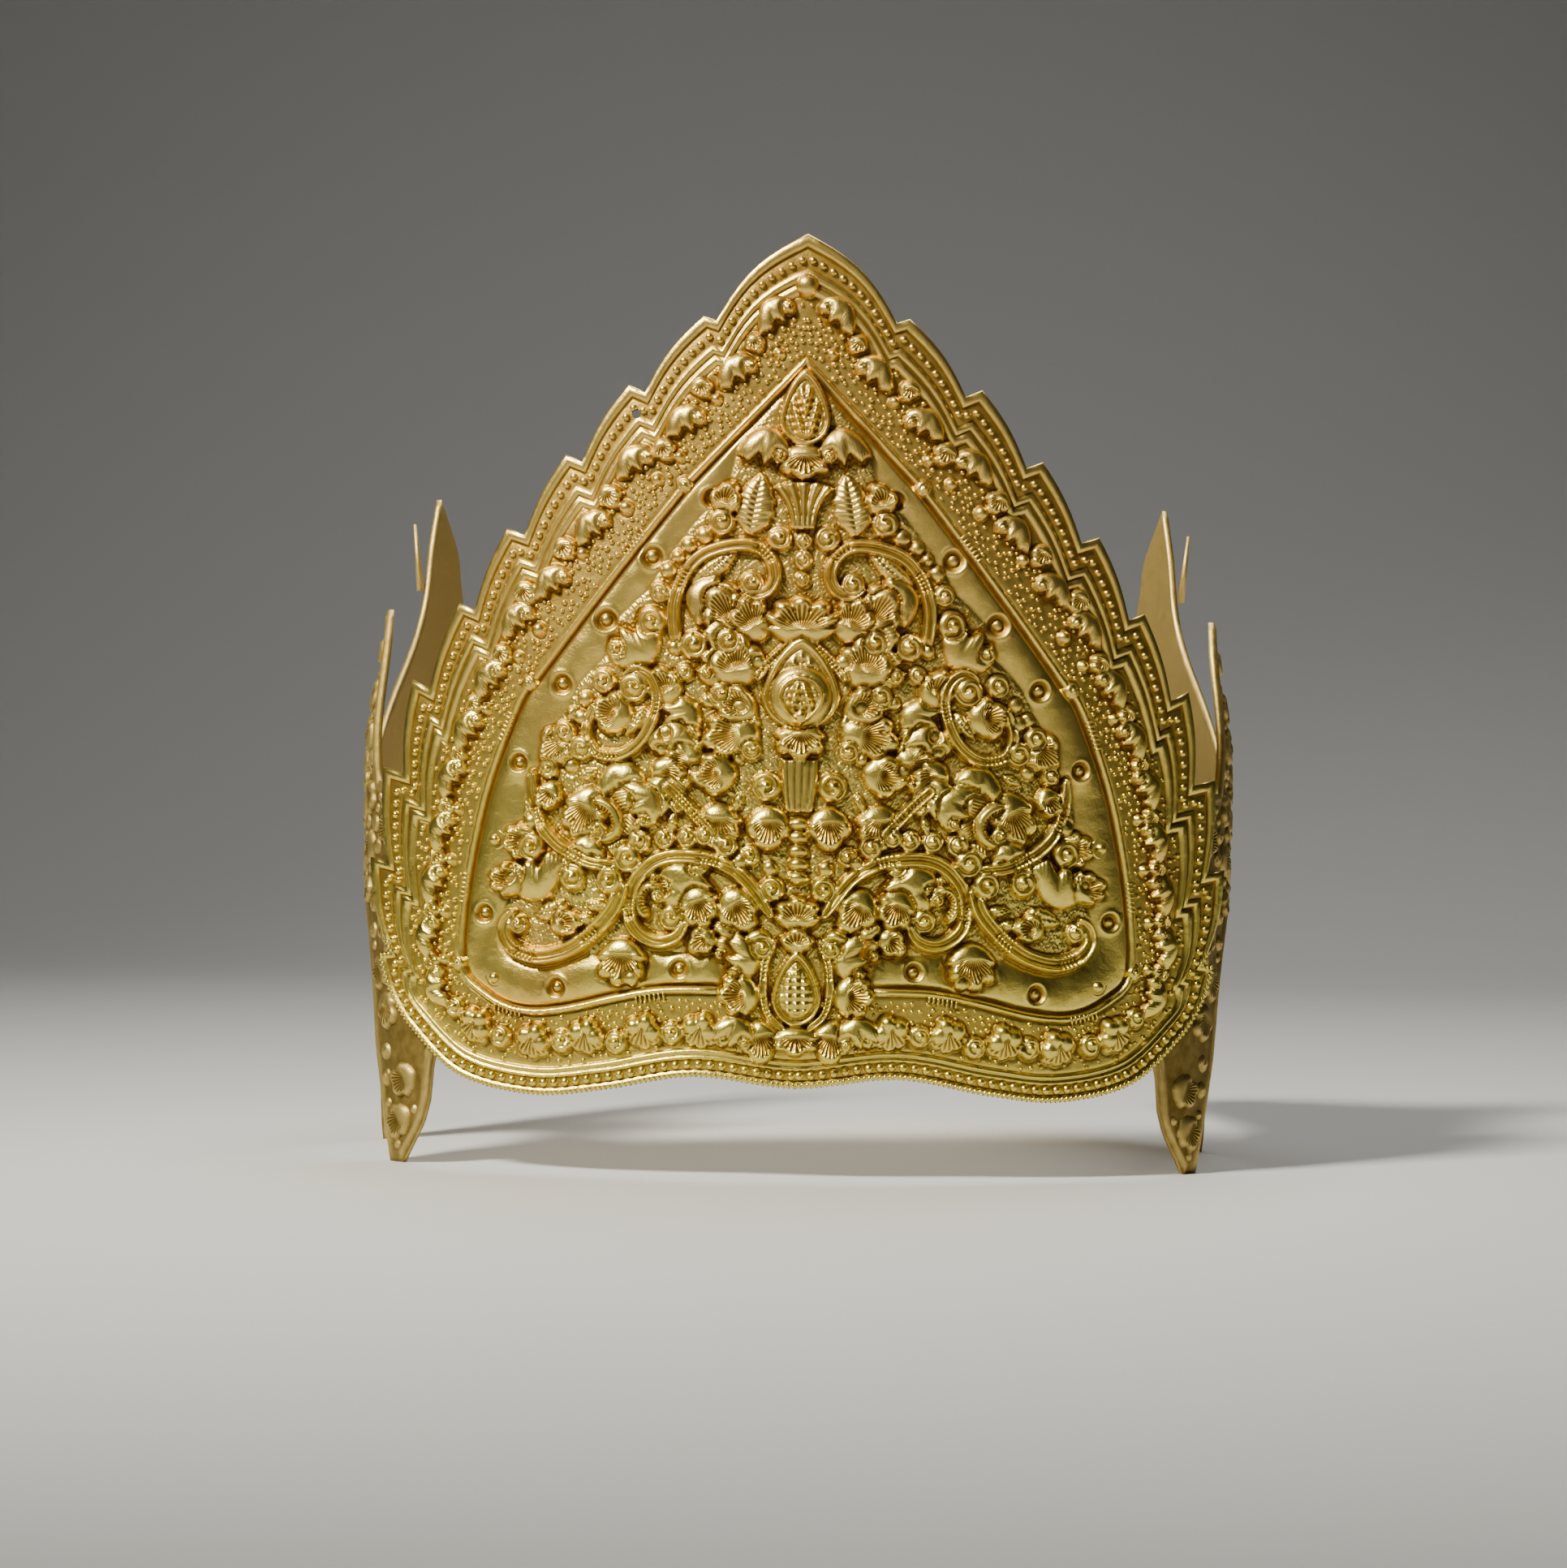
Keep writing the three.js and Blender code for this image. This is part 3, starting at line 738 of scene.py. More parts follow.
        # painted shadow under the jagged lip
        under = (beyond > 0) * np.clip((ahead - droop) / 0.25, 0, 1) * np.clip(1.1 - np.abs(out), 0, 1)
        under = np.clip(1.6 * under * (1.25 - beyond / 1.7), 0, 1)
        self.painted_shade[part] = np.maximum(self.painted_shade[part], 0.66 * under)
        across, up = seat.spread(0.66 * wide, 0.05 * half)
        self.volute(Seat(across, up, seat.heading, 1, seat.lift + 0.3), 0.30 * wide, 0.95 * rise)

    def tuft(self, seat: Seat, length: float, wide: float, rise: float) -> None:
        """Push up a hanging leaf: plump lobes behind, a ribbed fan that slopes down ahead.

        Args:
            seat: middle of the leaf, heading down the fan.
            length: back to front.
            wide: half width.
            rise: height of the lobes.
        """
        half = length / 2
        part = self.window(seat.across, seat.up, max(half, wide) + 1.6)
        right, along = self.local(seat, part)
        ahead, out = along / half + 0.25, right / wide
        turn, share = np.arctan2(out, ahead), np.hypot(out, ahead)
        front = np.clip((1.35 - np.abs(turn)) / 0.2, 0, 1)
        plump = np.abs(np.sin(math.pi * 4 * (turn / 2.7 + 0.5))) ** 0.7
        edge = share / (1.12 * (1 - 0.14 * (1 - plump)))
        fan = (0.78 - 0.50 * np.clip(edge, 0, 1) ** 1.5) * front
        # lobe's middle to the right and ahead, half width, half length, turn, height
        forms = ((-0.46 * wide, -0.12 * half, 0.50 * wide, 0.50 * half, -0.5, 0.95),
                 (0.46 * wide, -0.12 * half, 0.50 * wide, 0.50 * half, 0.5, 0.95),
                 (0.05 * wide, -0.52 * half, 0.46 * wide, 0.48 * half, 0.0, 1.0))
        lobes, beyond = self.lumps(right, along, forms)
        beyond = np.minimum(beyond, np.where(front > 0.5, (edge - 1) * min(half, wide), 1e9))
        height = np.maximum(lobes, fan * (edge < 1))
        ribs = front * (fan > lobes) * np.clip((0.96 - edge) / 0.1, 0, 1)
        self.push(part, beyond, seat.lift + rise * height, 0.35, ribs, 9 * turn / 2.7)

    def lobe(self, seat: Seat, length: float, wide: float, rise: float) -> None:
        """Push up one plump ribbed lobe of a leaf.

        Args:
            seat: foot and heading.
            length: foot to tip.
            wide: half width.
            rise: height near the tip.
        """
        part = self.window(seat.across, seat.up, length + 1.2)
        right, along = self.local(seat, part)
        out = np.clip(along / length, 0.0, 1.0)
        half = wide * np.sin(math.pi * (0.16 + 0.80 * out)) ** 0.55
        side = np.clip(np.abs(right) / half, 0, 1)
        tip = np.sqrt(np.clip(1 - (np.clip(out - 0.68, 0, 1) / 0.32) ** 2, 0, 1))
        height = rise * (0.50 + 0.50 * out) * tip * np.sqrt(np.clip(1 - side ** 2.4, 0, 1))
        ribs = np.clip((0.85 - side) / 0.2, 0, 1) * np.clip((out - 0.1) / 0.2, 0, 1) * (out < 0.74)
        beyond = np.maximum(np.abs(right) - half, np.maximum(-along, along - length))
        self.push(part, beyond, seat.lift + height, 0.40, 0.8 * ribs, right / 0.72)

    def frond(self, seat: Seat, size: float, rise: float, hand: int) -> None:
        """Push up a leaf that hooks round into a snail, with lobes along its outer side.

        Args:
            seat: foot and heading.
            size: foot to the outside of the hook.
            rise: height of the body.
            hand: 1 hooks to the right of the heading, -1 to the left.
        """
        right, along = 0.0, 0.0
        path, turns = [seat.spread(0.0, 0.0)], []
        steps = 10
        for step in range(steps):
            share = (step + 0.5) / steps
            turn = hand * math.radians(blend(-35.0, 215.0, share ** 1.2))
            pace = size * 1.60 * (1 - 0.70 * share) / steps
            right += pace * math.sin(turn)
            along += pace * math.cos(turn)
            path.append(seat.spread(right, along))
            turns.append(math.degrees(turn))
        for step in (7, 5, 3, 1):
            share = step / steps
            heading = seat.heading - turns[step] + hand * blend(58.0, 46.0, share)
            length = size * blend(0.50, 0.32, share)
            self.lobe(Seat(*path[step], heading, 1, seat.lift), length, 0.46 * length,
                      rise * blend(0.95, 0.80, share))
        wide = 0.14 * size
        self.ribbon(path, wide, rise, (0.75, 0.60), seat.lift, plump=hand)
        self.volute(Seat(*path[-1], seat.heading - turns[-1], 1, seat.lift), 1.15 * wide,
                    1.05 * rise, hand)

    def lumps(self, right: np.ndarray, along: np.ndarray,
              forms: Sequence[tuple[float, ...]]) -> tuple[np.ndarray, np.ndarray]:
        """Join round lumps.

        Args:
            right: distance to the right of the heading.
            along: distance along the heading.
            forms: rows of middle right, middle along, half width, half length, turn and height.

        Returns:
            The joined height and the distance beyond the joined edge.
        """
        height, beyond = np.zeros(right.shape), np.full(right.shape, 1e9)
        for off, ahead, wide, long, turn, tall in forms:
            out, up = right - off, along - ahead
            over = (out * math.cos(turn) - up * math.sin(turn)) / wide
            front = (out * math.sin(turn) + up * math.cos(turn)) / long
            share = np.hypot(over, front)
            lump = tall * np.sqrt(np.clip(1 - share ** 2.3, 0, 1))
            height = (height ** self.merge + lump ** self.merge) ** (1 / self.merge)
            beyond = np.minimum(beyond, (share - 1) * min(wide, long))
        return height, beyond

    def sample(self, values: np.ndarray, across: float, up: float) -> float:
        """Return the value of an array over the grid at a spot."""
        rows, columns = self.lift.shape
        if self.start[0] == 0.0:
            across = abs(across)
        column = min(columns - 1.001, max(0.0, (across - self.start[0]) / self.pitch))
        row = min(rows - 1.001, max(0.0, (up - self.start[1]) / self.pitch))
        left, low = int(column), int(row)
        over, higher = column - left, row - low
        lower = values[low, left] + (values[low, left + 1] - values[low, left]) * over
        upper = values[low + 1, left] + (values[low + 1, left + 1] - values[low + 1, left]) * over
        return float(lower + (upper - lower) * higher)

    def level(self, across: float, up: float) -> float:
        """Return the lift at a spot."""
        return self.sample(self.lift, across, up)

    def leaf(self, seat: Seat, length: float, wide: float, rise: float, bend: float = 0.0) -> None:
        """Push up a long leaf with a midrib and slanting ribs.

        Args:
            seat: foot and heading.
            length: foot to tip.
            wide: half width.
            rise: height along the midrib's sides.
            bend: sideways sweep of the tip.
        """
        part = self.window(seat.across, seat.up, length + abs(bend) + 1.2)
        right, along = self.local(seat, part)
        out = np.clip(along / length, 0.0, 1.0)
        notch = 1 - 0.14 * np.abs(np.sin(5 * math.pi * out))
        half = wide * np.sin(math.pi * out ** 0.8) ** 0.7 * notch + 0.02
        off = right - bend * out ** 2
        side = np.clip(off / half, -1, 1)
        vein = 0.14 * np.cos(2 * math.pi * (length * out / 1.1 - 0.9 * np.abs(side)))
        rib = 0.30 * np.exp(-(side / 0.18) ** 2)
        body = np.sin(math.pi * np.clip(0.1 + 0.85 * out, 0, 1)) ** 0.6
        height = rise * body * (1 - 0.5 * side ** 2 - rib + vein * (1 - np.abs(side)))
        beyond = np.maximum(np.abs(off) - half, np.maximum(-along, along - length))
        self.push(part, beyond, seat.lift + height)

    def bud(self, seat: Seat, wide: float, tall: float, low: float, rise: float,
            grains: bool = False) -> None:
        """Push up a pointed bud inside a raised border, filled with petals or with grains.

        Args:
            seat: middle of the widest place, heading to the tip.
            wide: half width.
            tall: widest place to the tip.
            low: widest place to the foot.
            rise: height of the middle.
            grains: fill it with grains.
        """
        part = self.window(seat.across, seat.up, max(tall, low, wide) + 1.2)
        right, along = self.local(seat, part)

        def reach(share: np.ndarray) -> np.ndarray:
            """Half width of the outline drawn in to a share of its size."""
            level = along / share
            point = np.clip(level / tall, 0, 1)
            upper = wide * (1 - point) ** 0.75 * (1 + 0.45 * point)
            lower = wide * np.sqrt(np.clip(1 - (level / low) ** 2, 0, 1))
            return share * np.where(level > 0, upper, lower)

        small, large = np.full(right.shape, 0.02), np.full(right.shape, 1.6)
        for _ in range(14):
            middle = (small + large) / 2
            held = np.abs(right) <= reach(middle)
            large = np.where(held, middle, large)
            small = np.where(held, small, middle)
        out = large
        crown = 0.55 * np.sqrt(np.clip(1 - (out / 0.80) ** 2, 0, 1))
        if grains:
            filling = 0.30 * np.abs(np.cos(math.pi * right / 1.7) * np.cos(math.pi * along / 1.5))
        else:
            petal = np.abs(right) - 0.30 * (along + low)
            filling = 0.22 * np.cos(2 * math.pi * petal / 2.4) + 0.08 * np.cos(4.2 * along)
        filling = filling * np.clip((0.74 - out) / 0.16, 0, 1)
        border = 0.34 + 0.36 * np.sin(math.pi * np.clip((out - 0.80) / 0.20, 0, 1))
        height = np.where(out > 0.80, border, 0.22 + crown + filling)
        self.push(part, (out - 1) * wide, seat.lift + rise * height)

    def flutes(self, seat: Seat, low: float, high: float, tall: float, rise: float,
               count: int = 5) -> None:
        """Push up a fluted stem that flares.

        Args:
            seat: middle of the foot, heading up the stem.
            low: half width at the foot.
            high: half width at the head.
            tall: foot to head.
            rise: height of the flutes.
            count: flutes side by side.
        """
        part = self.window(seat.across, seat.up, tall + high + 1.2)
        right, along = self.local(seat, part)
        out = np.clip(along / tall, 0.0, 1.0)
        half = low + (high - low) * out ** 2.4
        side = np.clip(right / half, -1, 1)
        wave = np.sqrt(np.abs(np.cos(math.pi * count * side / 2)))
        droop = 0.25 * (high - low) * side ** 2
        height = rise * (0.30 - 0.20 * side ** 2 + 0.70 * wave)
        beyond = np.maximum(np.abs(right) - half, np.maximum(-along, along - tall + droop))
        self.push(part, beyond, seat.lift + height)

    def ribbon(self, spots: Sequence[Spot], wide: float, rise: float, ends: Spot = (0.5, 0.35),
               lift: float = 0.0, hatches: Sequence[float] = (), plump: int = 0) -> None:
        """Push up a ribbon along a path: a ridge on each edge, a groove between, hatched places.

        Args:
            spots: path.
            wide: half width in the middle.
            rise: height of the ridges.
            ends: share of the width left at the start and at the end.
            lift: height of the ground under it.
            hatches: shares of the path where short strokes cross it.
            plump: 1 or -1 makes it round instead, ribbed on its right or left side.
        """
        path = np.array(curve_through(spots, 7))
        low, high = path.min(axis=0), path.max(axis=0)
        middle = (low + high) / 2
        part = self.window(middle[0], middle[1], float((high - low).max()) / 2 + wide + 1.5)
        across, up = self.across[part], self.up[part]
        best, run_to = np.full(across.shape, 1e9), np.zeros(across.shape)
        right = np.zeros(across.shape)
        runs = np.diff(path, axis=0)
        lengths = np.hypot(runs[:, 0], runs[:, 1]) + 1e-9
        starts = np.concatenate([[0.0], np.cumsum(lengths)])
        for spot, run, length, before in zip(path, runs, lengths, starts):
            along = ((across - spot[0]) * run[0] + (up - spot[1]) * run[1]) / length ** 2
            along = np.clip(along, 0.0, 1.0)
            away = np.hypot(across - spot[0] - run[0] * along, up - spot[1] - run[1] * along)
            run_to = np.where(away < best, before + along * length, run_to)
            over = (across - spot[0]) * run[1] - (up - spot[1]) * run[0]
            right = np.where(away < best, np.sign(over), right)
            best = np.minimum(best, away)
        share = run_to / starts[-1]
        swell = np.sin(math.pi * share)
        half = wide * ((ends[0] + (ends[1] - ends[0]) * share) * (1 - swell) + np.sqrt(swell))
        half = np.minimum(half, wide)
        inner = np.clip(plump * right, 0, 1)
        half = half * (1 - 0.20 * inner * (1 - np.abs(np.sin(math.pi * run_to / 2.1))))
        side = np.clip(best / half, 0, 1)
        ridges = np.exp(-((side - 0.58) / 0.27) ** 2)
        ribs = inner * np.clip((side - 0.12) / 0.12, 0, 1) * np.clip((0.80 - side) / 0.12, 0, 1)
        if plump:
            line = 0.20 * (1 - inner) * np.exp(-((side - 0.74) / 0.09) ** 2)
            step = 0.16 * inner * np.clip((side - 0.12) / 0.2, 0, 1)
            height = rise * (np.sqrt(np.clip(1 - side ** 2.6, 0, 1)) - line - step)
        else:
            height = rise * (0.42 + 0.58 * ridges) * np.sqrt(np.clip(1 - side ** 8, 0, 1))
        for place in hatches:
            near = run_to - place * starts[-1]
            strokes = 0.5 + 0.5 * np.cos(2 * math.pi * near / 0.85)
            height = height - 0.34 * rise * strokes * (np.abs(near) < 2.4)
        self.push(part, best - half, lift + height, 0.5, ribs, run_to / 0.85)

    def soften(self, values: np.ndarray, reach: float) -> np.ndarray:
        """Return values averaged over a square reach either way, twice."""
        width = max(1, int(round(reach / self.pitch)))
        for _ in range(2):
            for axis in (0, 1):
                pad = [(width, width) if side == axis else (0, 0) for side in (0, 1)]
                total = np.cumsum(np.pad(values, pad, mode="edge"), axis=axis)
                total = np.concatenate([np.zeros_like(np.take(total, [0], axis)), total], axis)
                count = np.arange(values.shape[axis])
                ahead = np.take(total, count + 2 * width + 1, axis)
                values = (ahead - np.take(total, count, axis)) / (2 * width + 1)
        return values

    def beat(self, keep: float = 0.6) -> None:
        """Round the forms off as hammered sheet is."""
        soft = self.soften(self.lift, self.pitch)
        self.lift = keep * self.lift + (1 - keep) * soft

    def shade(self) -> np.ndarray:
        """Return the painted shade of each place, from 0 dark to 1 bright: brighter where it stands above its
        neighbours, darker in recesses and where painted shadow was laid.
        """
        lift = np.maximum(self.lift, -0.5)
        high = self.tone + self.relief * (lift - self.soften(lift, 0.9))
        return np.clip(high - self.soften(self.painted_shade, self.pitch), 0.0, 1.0)

    def finish(self, name: str, material: bpy.types.Material, slot: Slot,
               side: int = 1) -> bpy.types.Object:
        """Cut the grid down to the ornament and make it a piece.

        Args:
            name: piece name.
            material: its finish.
            slot: not used.
            side: -1 for the mirrored half.

        Returns:
            The piece.
        """
        raised = self.lift > self.floor + 0.02
        rows, columns = self.lift.shape
        spots = np.array([self.sheet.place(side * a, u, h) for a, u, h in zip(
            self.across.ravel(), self.up.ravel(), self.lift.ravel())]).reshape(rows, columns, 3)
        outward, upward = np.gradient(spots, axis=1), np.gradient(spots, axis=0)
        if self.start[0] == 0.0:
            outward[:, 0, 1:] = 0.0
        facing = side * self.sheet.handed * np.cross(outward, upward)
        facing /= np.linalg.norm(facing, axis=2, keepdims=True) + 1e-12

        mesh = bmesh.new()
        bmesh.ops.create_grid(mesh, x_segments=columns - 1, y_segments=rows - 1, size=1.0)
        spare = [vert for vert in mesh.verts if not raised[
            int(round((0.5 + 0.5 * vert.co.y) * (rows - 1))),
            int(round((0.5 + 0.5 * vert.co.x) * (columns - 1)))]]
        bmesh.ops.delete(mesh, geom=spare, context="VERTS")
        loose = [vert for vert in mesh.verts if not vert.link_faces]
        bmesh.ops.delete(mesh, geom=loose, context="VERTS")
        if side * self.sheet.handed < 0:
            bmesh.ops.reverse_faces(mesh, faces=mesh.faces)
        piece = as_piece(name, mesh, material)
        data = piece.data
        flat = np.zeros(3 * len(data.vertices))
        data.vertices.foreach_get("co", flat)
        flat = flat.reshape(-1, 3)
        column = np.rint((0.5 + 0.5 * flat[:, 0]) * (columns - 1)).astype(int)
        row = np.rint((0.5 + 0.5 * flat[:, 1]) * (rows - 1)).astype(int)
        data.vertices.foreach_set("co", spots[row, column].ravel())
        # the height attribute carries the painted shade
        for label, values in (("height", self.shade()), ("ribs", self.ribs),
                              ("phase", self.phase)):
            layer = data.attributes.new(label, "FLOAT", "POINT")
            layer.data.foreach_set("value", values[row, column].ravel())
        data.normals_split_custom_set_from_vertices(facing[row, column])
        data.update()
        return piece


def as_piece(name: str, mesh: bmesh.types.BMesh, material: bpy.types.Material,
             smooth: bool = True) -> bpy.types.Object:
    """Turn a mesh into a piece that rides on the headdress.

    Args:
        name: piece name.
        mesh: its mesh, freed afterwards.
        material: its finish.
        smooth: shade its faces smooth.

    Returns:
        The piece.
    """
    for face in mesh.faces:
        face.smooth = smooth
    data = bpy.data.meshes.new(name)
    mesh.to_mesh(data)
    mesh.free()
    data.materials.append(material)
    piece = bpy.data.objects.new(name, data)
    bpy.context.scene.collection.objects.link(piece)
    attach(piece, "root")
    LOG.info("%s: %d faces", name, len(data.polygons))
    return piece


class Shell:
    """A closed wall grown ring by ring from one loop."""

    def __init__(self, sheet: Sheet, loop: Sequence[tuple[float, float, float, float]]) -> None:
        """Start from a loop of (across, up, lift, height) rows, height being the painted shade."""
        self.sheet = sheet
        self.mesh = bmesh.new()
        self.height = self.mesh.verts.layers.float.new("height")
        ring = bmesh.ops.create_circle(self.mesh, cap_ends=False, segments=len(loop), radius=1.0)
        self.first = list(ring["verts"])
        self.verts = self.first
        self._settle(loop)

    def _settle(self, loop: Sequence[tuple[float, float, float, float]]) -> None:
        """Put the newest ring in its place."""
        for vert, (across, up, lift, height) in zip(self.verts, loop):
            vert.co = self.sheet.place(across, up, lift)
            vert[self.height] = height

    def grow(self, loop: Sequence[tuple[float, float, float, float]]) -> None:
        """Extrude the newest ring to a new loop."""
        order = {vert: index for index, vert in enumerate(self.verts)}
        edges = [edge for edge in {e for v in self.verts for e in v.link_edges}
                 if edge.verts[0] in order and edge.verts[1] in order]
        spots = {tuple(vert.co): index for index, vert in enumerate(self.verts)}
        made = bmesh.ops.extrude_edge_only(self.mesh, edges=edges)
        fresh = [item for item in made["geom"] if isinstance(item, bmesh.types.BMVert)]
        fresh.sort(key=lambda vert: spots[tuple(vert.co)])
        self.verts = fresh
        self._settle(loop)

    def rewind(self) -> None:
        """Go back to the first ring, to grow the other face."""
        self.verts = self.first

    def close(self, spot: tuple[float, float, float]) -> None:
        """Draw the newest ring together into one point."""
        bmesh.ops.pointmerge(self.mesh, verts=self.verts, merge_co=self.sheet.place(*spot))

    def cap(self, loop: Sequence[Spot], lift: float, shade: float, pitch: float) -> None:
        """Fill the newest ring: lay it flat, fill it, slice it upright and bend it again.

        Args:
            loop: across and up of the newest ring.
            lift: lift of the filling.
            shade: height shade of the filling.
            pitch: distance between the slices.
        """
        ring = set(self.verts)
        for vert, (across, up) in zip(self.verts, loop):
            vert.co = (across, 0.0, up)
        edges = [edge for edge in {e for v in self.verts for e in v.link_edges}
                 if edge.verts[0] in ring and edge.verts[1] in ring]
        made = bmesh.ops.triangle_fill(self.mesh, edges=edges, normal=(0.0, 1.0, 0.0))
        faces = [item for item in made["geom"] if isinstance(item, bmesh.types.BMFace)]
        widest = max(across for across, _ in loop)
        for cut in np.arange(pitch - widest, widest, pitch):
            parts = {item for face in faces for item in (face, *face.edges, *face.verts)}
            made = bmesh.ops.bisect_plane(self.mesh, geom=list(parts), plane_co=(cut, 0.0, 0.0),
                                          plane_no=(1.0, 0.0, 0.0))
            faces = [item for item in made["geom"] if isinstance(item, bmesh.types.BMFace)]
        for vert in {vert for face in faces for vert in face.verts}:
            vert.co = self.sheet.place(vert.co.x, vert.co.z, lift)
            vert[self.height] = shade

    def finish(self, name: str, material: bpy.types.Material, slot: Slot) -> bpy.types.Object:
        """Turn the faces outward and make the shell a piece."""
        bmesh.ops.recalc_face_normals(self.mesh, faces=self.mesh.faces)
        return as_piece(name, self.mesh, material)


# ---------------------------------------------------------------- front plate

@dataclass
class FrontPlate:
    """The chased front plate: stepped rim, vine band, inner frame and raised field."""

    sheet: FrontSheet = field(default_factory=FrontSheet)
    # tip across, tip up, notch across, notch up, swell of the run
    steps: tuple[tuple[float, float, float, float, float], ...] = (
        (0.0, 190.0, 18.2, 172.5, 2.4), (20.8, 173.4, 32.6, 158.1, 1.2),
        (36.0, 159.6, 45.7, 144.2, 0.9), (49.2, 145.6, 58.1, 129.5, 0.8),
        (62.1, 130.8, 69.4, 114.2, 0.8), (73.1, 115.6, 80.1, 98.0, 0.8),
        (84.5, 99.9, 86.4, 80.6, 1.0), (91.9, 81.8, 90.3, 62.3, 0.9),
        (95.0, 63.1, 89.4, 43.6, 1.4), (92.5, 43.2, 84.6, 29.3, 1.0))
    lower_edge: tuple[Spot, ...] = (
        (84.6, 29.3), (71.9, 19.4), (54.8, 16.0), (39.1, 17.5), (20.6, 20.7), (0.0, 18.7))
    run_pieces: int = 9
    lower_pieces: int = 7
    # distance in from the edge, lift, painted shade: dark in the grooves, bright on the ridges
    rim_rows: tuple[tuple[float, float, float], ...] = (
        (0.25, 0.30, 1.0), (0.9, 0.42, 1.0), (1.5, 0.36, 1.0), (1.9, -0.25, 0.05),
        (2.4, -0.10, 0.40), (4.6, -0.10, 0.40), (5.0, -0.20, 0.15), (5.35, 0.35, 0.8),
        (5.8, 0.45, 1.0), (6.2, 0.25, 0.6), (6.6, -0.20, 0.05), (7.0, 0.40, 0.8),
        (7.5, 0.60, 1.0), (8.0, 0.40, 0.8), (8.5, -0.10, 0.3))
    rim_low: float = 0.66
    rim_low_up: float = 26.0
    rim_high_up: float = 80.0
    bead_in: float = 3.5
    bead_pitch: float = 2.35
    bead_radius: float = 0.80
    rope_in: float = 0.65
    rope_pitch: float = 1.05
    rope_up: float = 46.0
    painted_light_up: float = 44.0
    vine_sunk: float = -0.75
    back: float = 1.3
    moulding_top: tuple[Spot, ...] = ((0.0, 165.6), (24.3, 140.3))
    moulding: tuple[Spot, ...] = (
        (24.3, 140.3), (38.9, 122.2), (54.9, 101.9), (58.9, 97.1), (63.3, 87.2), (66.8, 77.3),
        (69.3, 67.3), (71.1, 57.3), (72.2, 45.7), (71.0, 39.2), (66.6, 35.6), (60.9, 32.7),
        (54.4, 31.8), (46.4, 32.8), (36.1, 35.3), (26.0, 37.0), (12.0, 37.0), (0.0, 36.0))
    # distance in from the moulding line, lift, painted shade: dark in the grooves, bright on the ridges
    moulding_rows: tuple[tuple[float, float, float], ...] = (
        (0.0, -0.10, 0.15), (0.25, 0.55, 0.8), (0.65, 0.85, 1.0), (1.05, 0.80, 1.0),
        (1.40, 0.35, 0.5), (1.75, -0.30, 0.0), (2.30, -0.55, 0.0), (2.75, -0.80, 0.0))
    moulding_centre: Spot = (0.0, 84.0)
    inner_rows: int = 12
    sunk: float = -0.8
    pillow: float = 1.0
    field_ground: float = 0.25
    field_outline: tuple[Spot, ...] = (
        (0.0, 163.0), (7.2, 155.5), (13.5, 147.0), (15.0, 139.5), (20.5, 133.5), (27.0, 125.5),
        (31.5, 118.2), (37.5, 112.5), (39.0, 106.0), (45.5, 99.5), (49.5, 92.0), (52.5, 85.0),
        (56.8, 78.0), (58.1, 70.0), (59.5, 63.0), (60.5, 56.0), (62.6, 49.5), (59.5, 44.5),
        (53.5, 42.6), (45.5, 44.5), (39.0, 45.0), (36.0, 39.0), (32.0, 39.0), (29.5, 45.5),
        (16.3, 45.5), (14.5, 40.0), (13.5, 30.0), (7.0, 26.5), (0.0, 25.0))
    # across, up, radius
    bosses: tuple[tuple[float, float, float], ...] = (
        (18.6, 136.8, 1.9), (30.5, 125.0, 2.4), (39.9, 112.2, 2.4), (49.0, 99.2, 2.2),
        (58.2, 83.2, 2.0), (65.6, 52.4, 2.0), (49.2, 37.8, 2.1), (23.6, 42.2, 2.0))

    def __post_init__(self) -> None:
        """Work out the loops that every method shares."""
        beyond = (-self.lower_edge[-2][0], self.lower_edge[-2][1])
        self.lower = curve_through((*self.lower_edge, beyond), self.lower_pieces)
        self.lower = self.lower[:-self.lower_pieces]
        self.frame_line = list(self.moulding_top[:-1]) + curve_through(self.moulding, 4)
        self.frame_loop = both_halves(self.frame_line)
        self.field_loop = both_halves(self.field_outline)

    def scale_at(self, up: float) -> float:
        """Return how far the rim's bands are drawn together at a height."""
        share = ease((up - self.rim_low_up) / (self.rim_high_up - self.rim_low_up))
        return blend(self.rim_low, 1.0, share)

    def corners(self, distance: float) -> list[Spot]:
        """Return the right half's corners, set in from the edge with mitred corners."""
        right: list[Spot] = []
        for tip_across, tip_up, notch_across, notch_up, _ in self.steps:
            right += [(tip_across, tip_up), (notch_across, notch_up)]
        right[-1] = self.lower[0]
        right += self.lower[1:]
        loop = both_halves(right)
        count = len(loop)
        moved: list[Spot] = []
        for index in range(len(right)):
            here = loop[index]
            normals = []
            for start, end in ((loop[index - 1], here), (here, loop[(index + 1) % count])):
                length = math.dist(start, end)
                normals.append(((end[1] - start[1]) / length, -(end[0] - start[0]) / length))
            (ax, ay), (bx, by) = normals
            reach = distance * self.scale_at(here[1]) / max(0.35, 1 + ax * bx + ay * by)
            moved.append((here[0] + reach * (ax + bx), here[1] + reach * (ay + by)))
        moved[0] = (0.0, moved[0][1])
        moved[-1] = (0.0, moved[-1][1])
        return moved

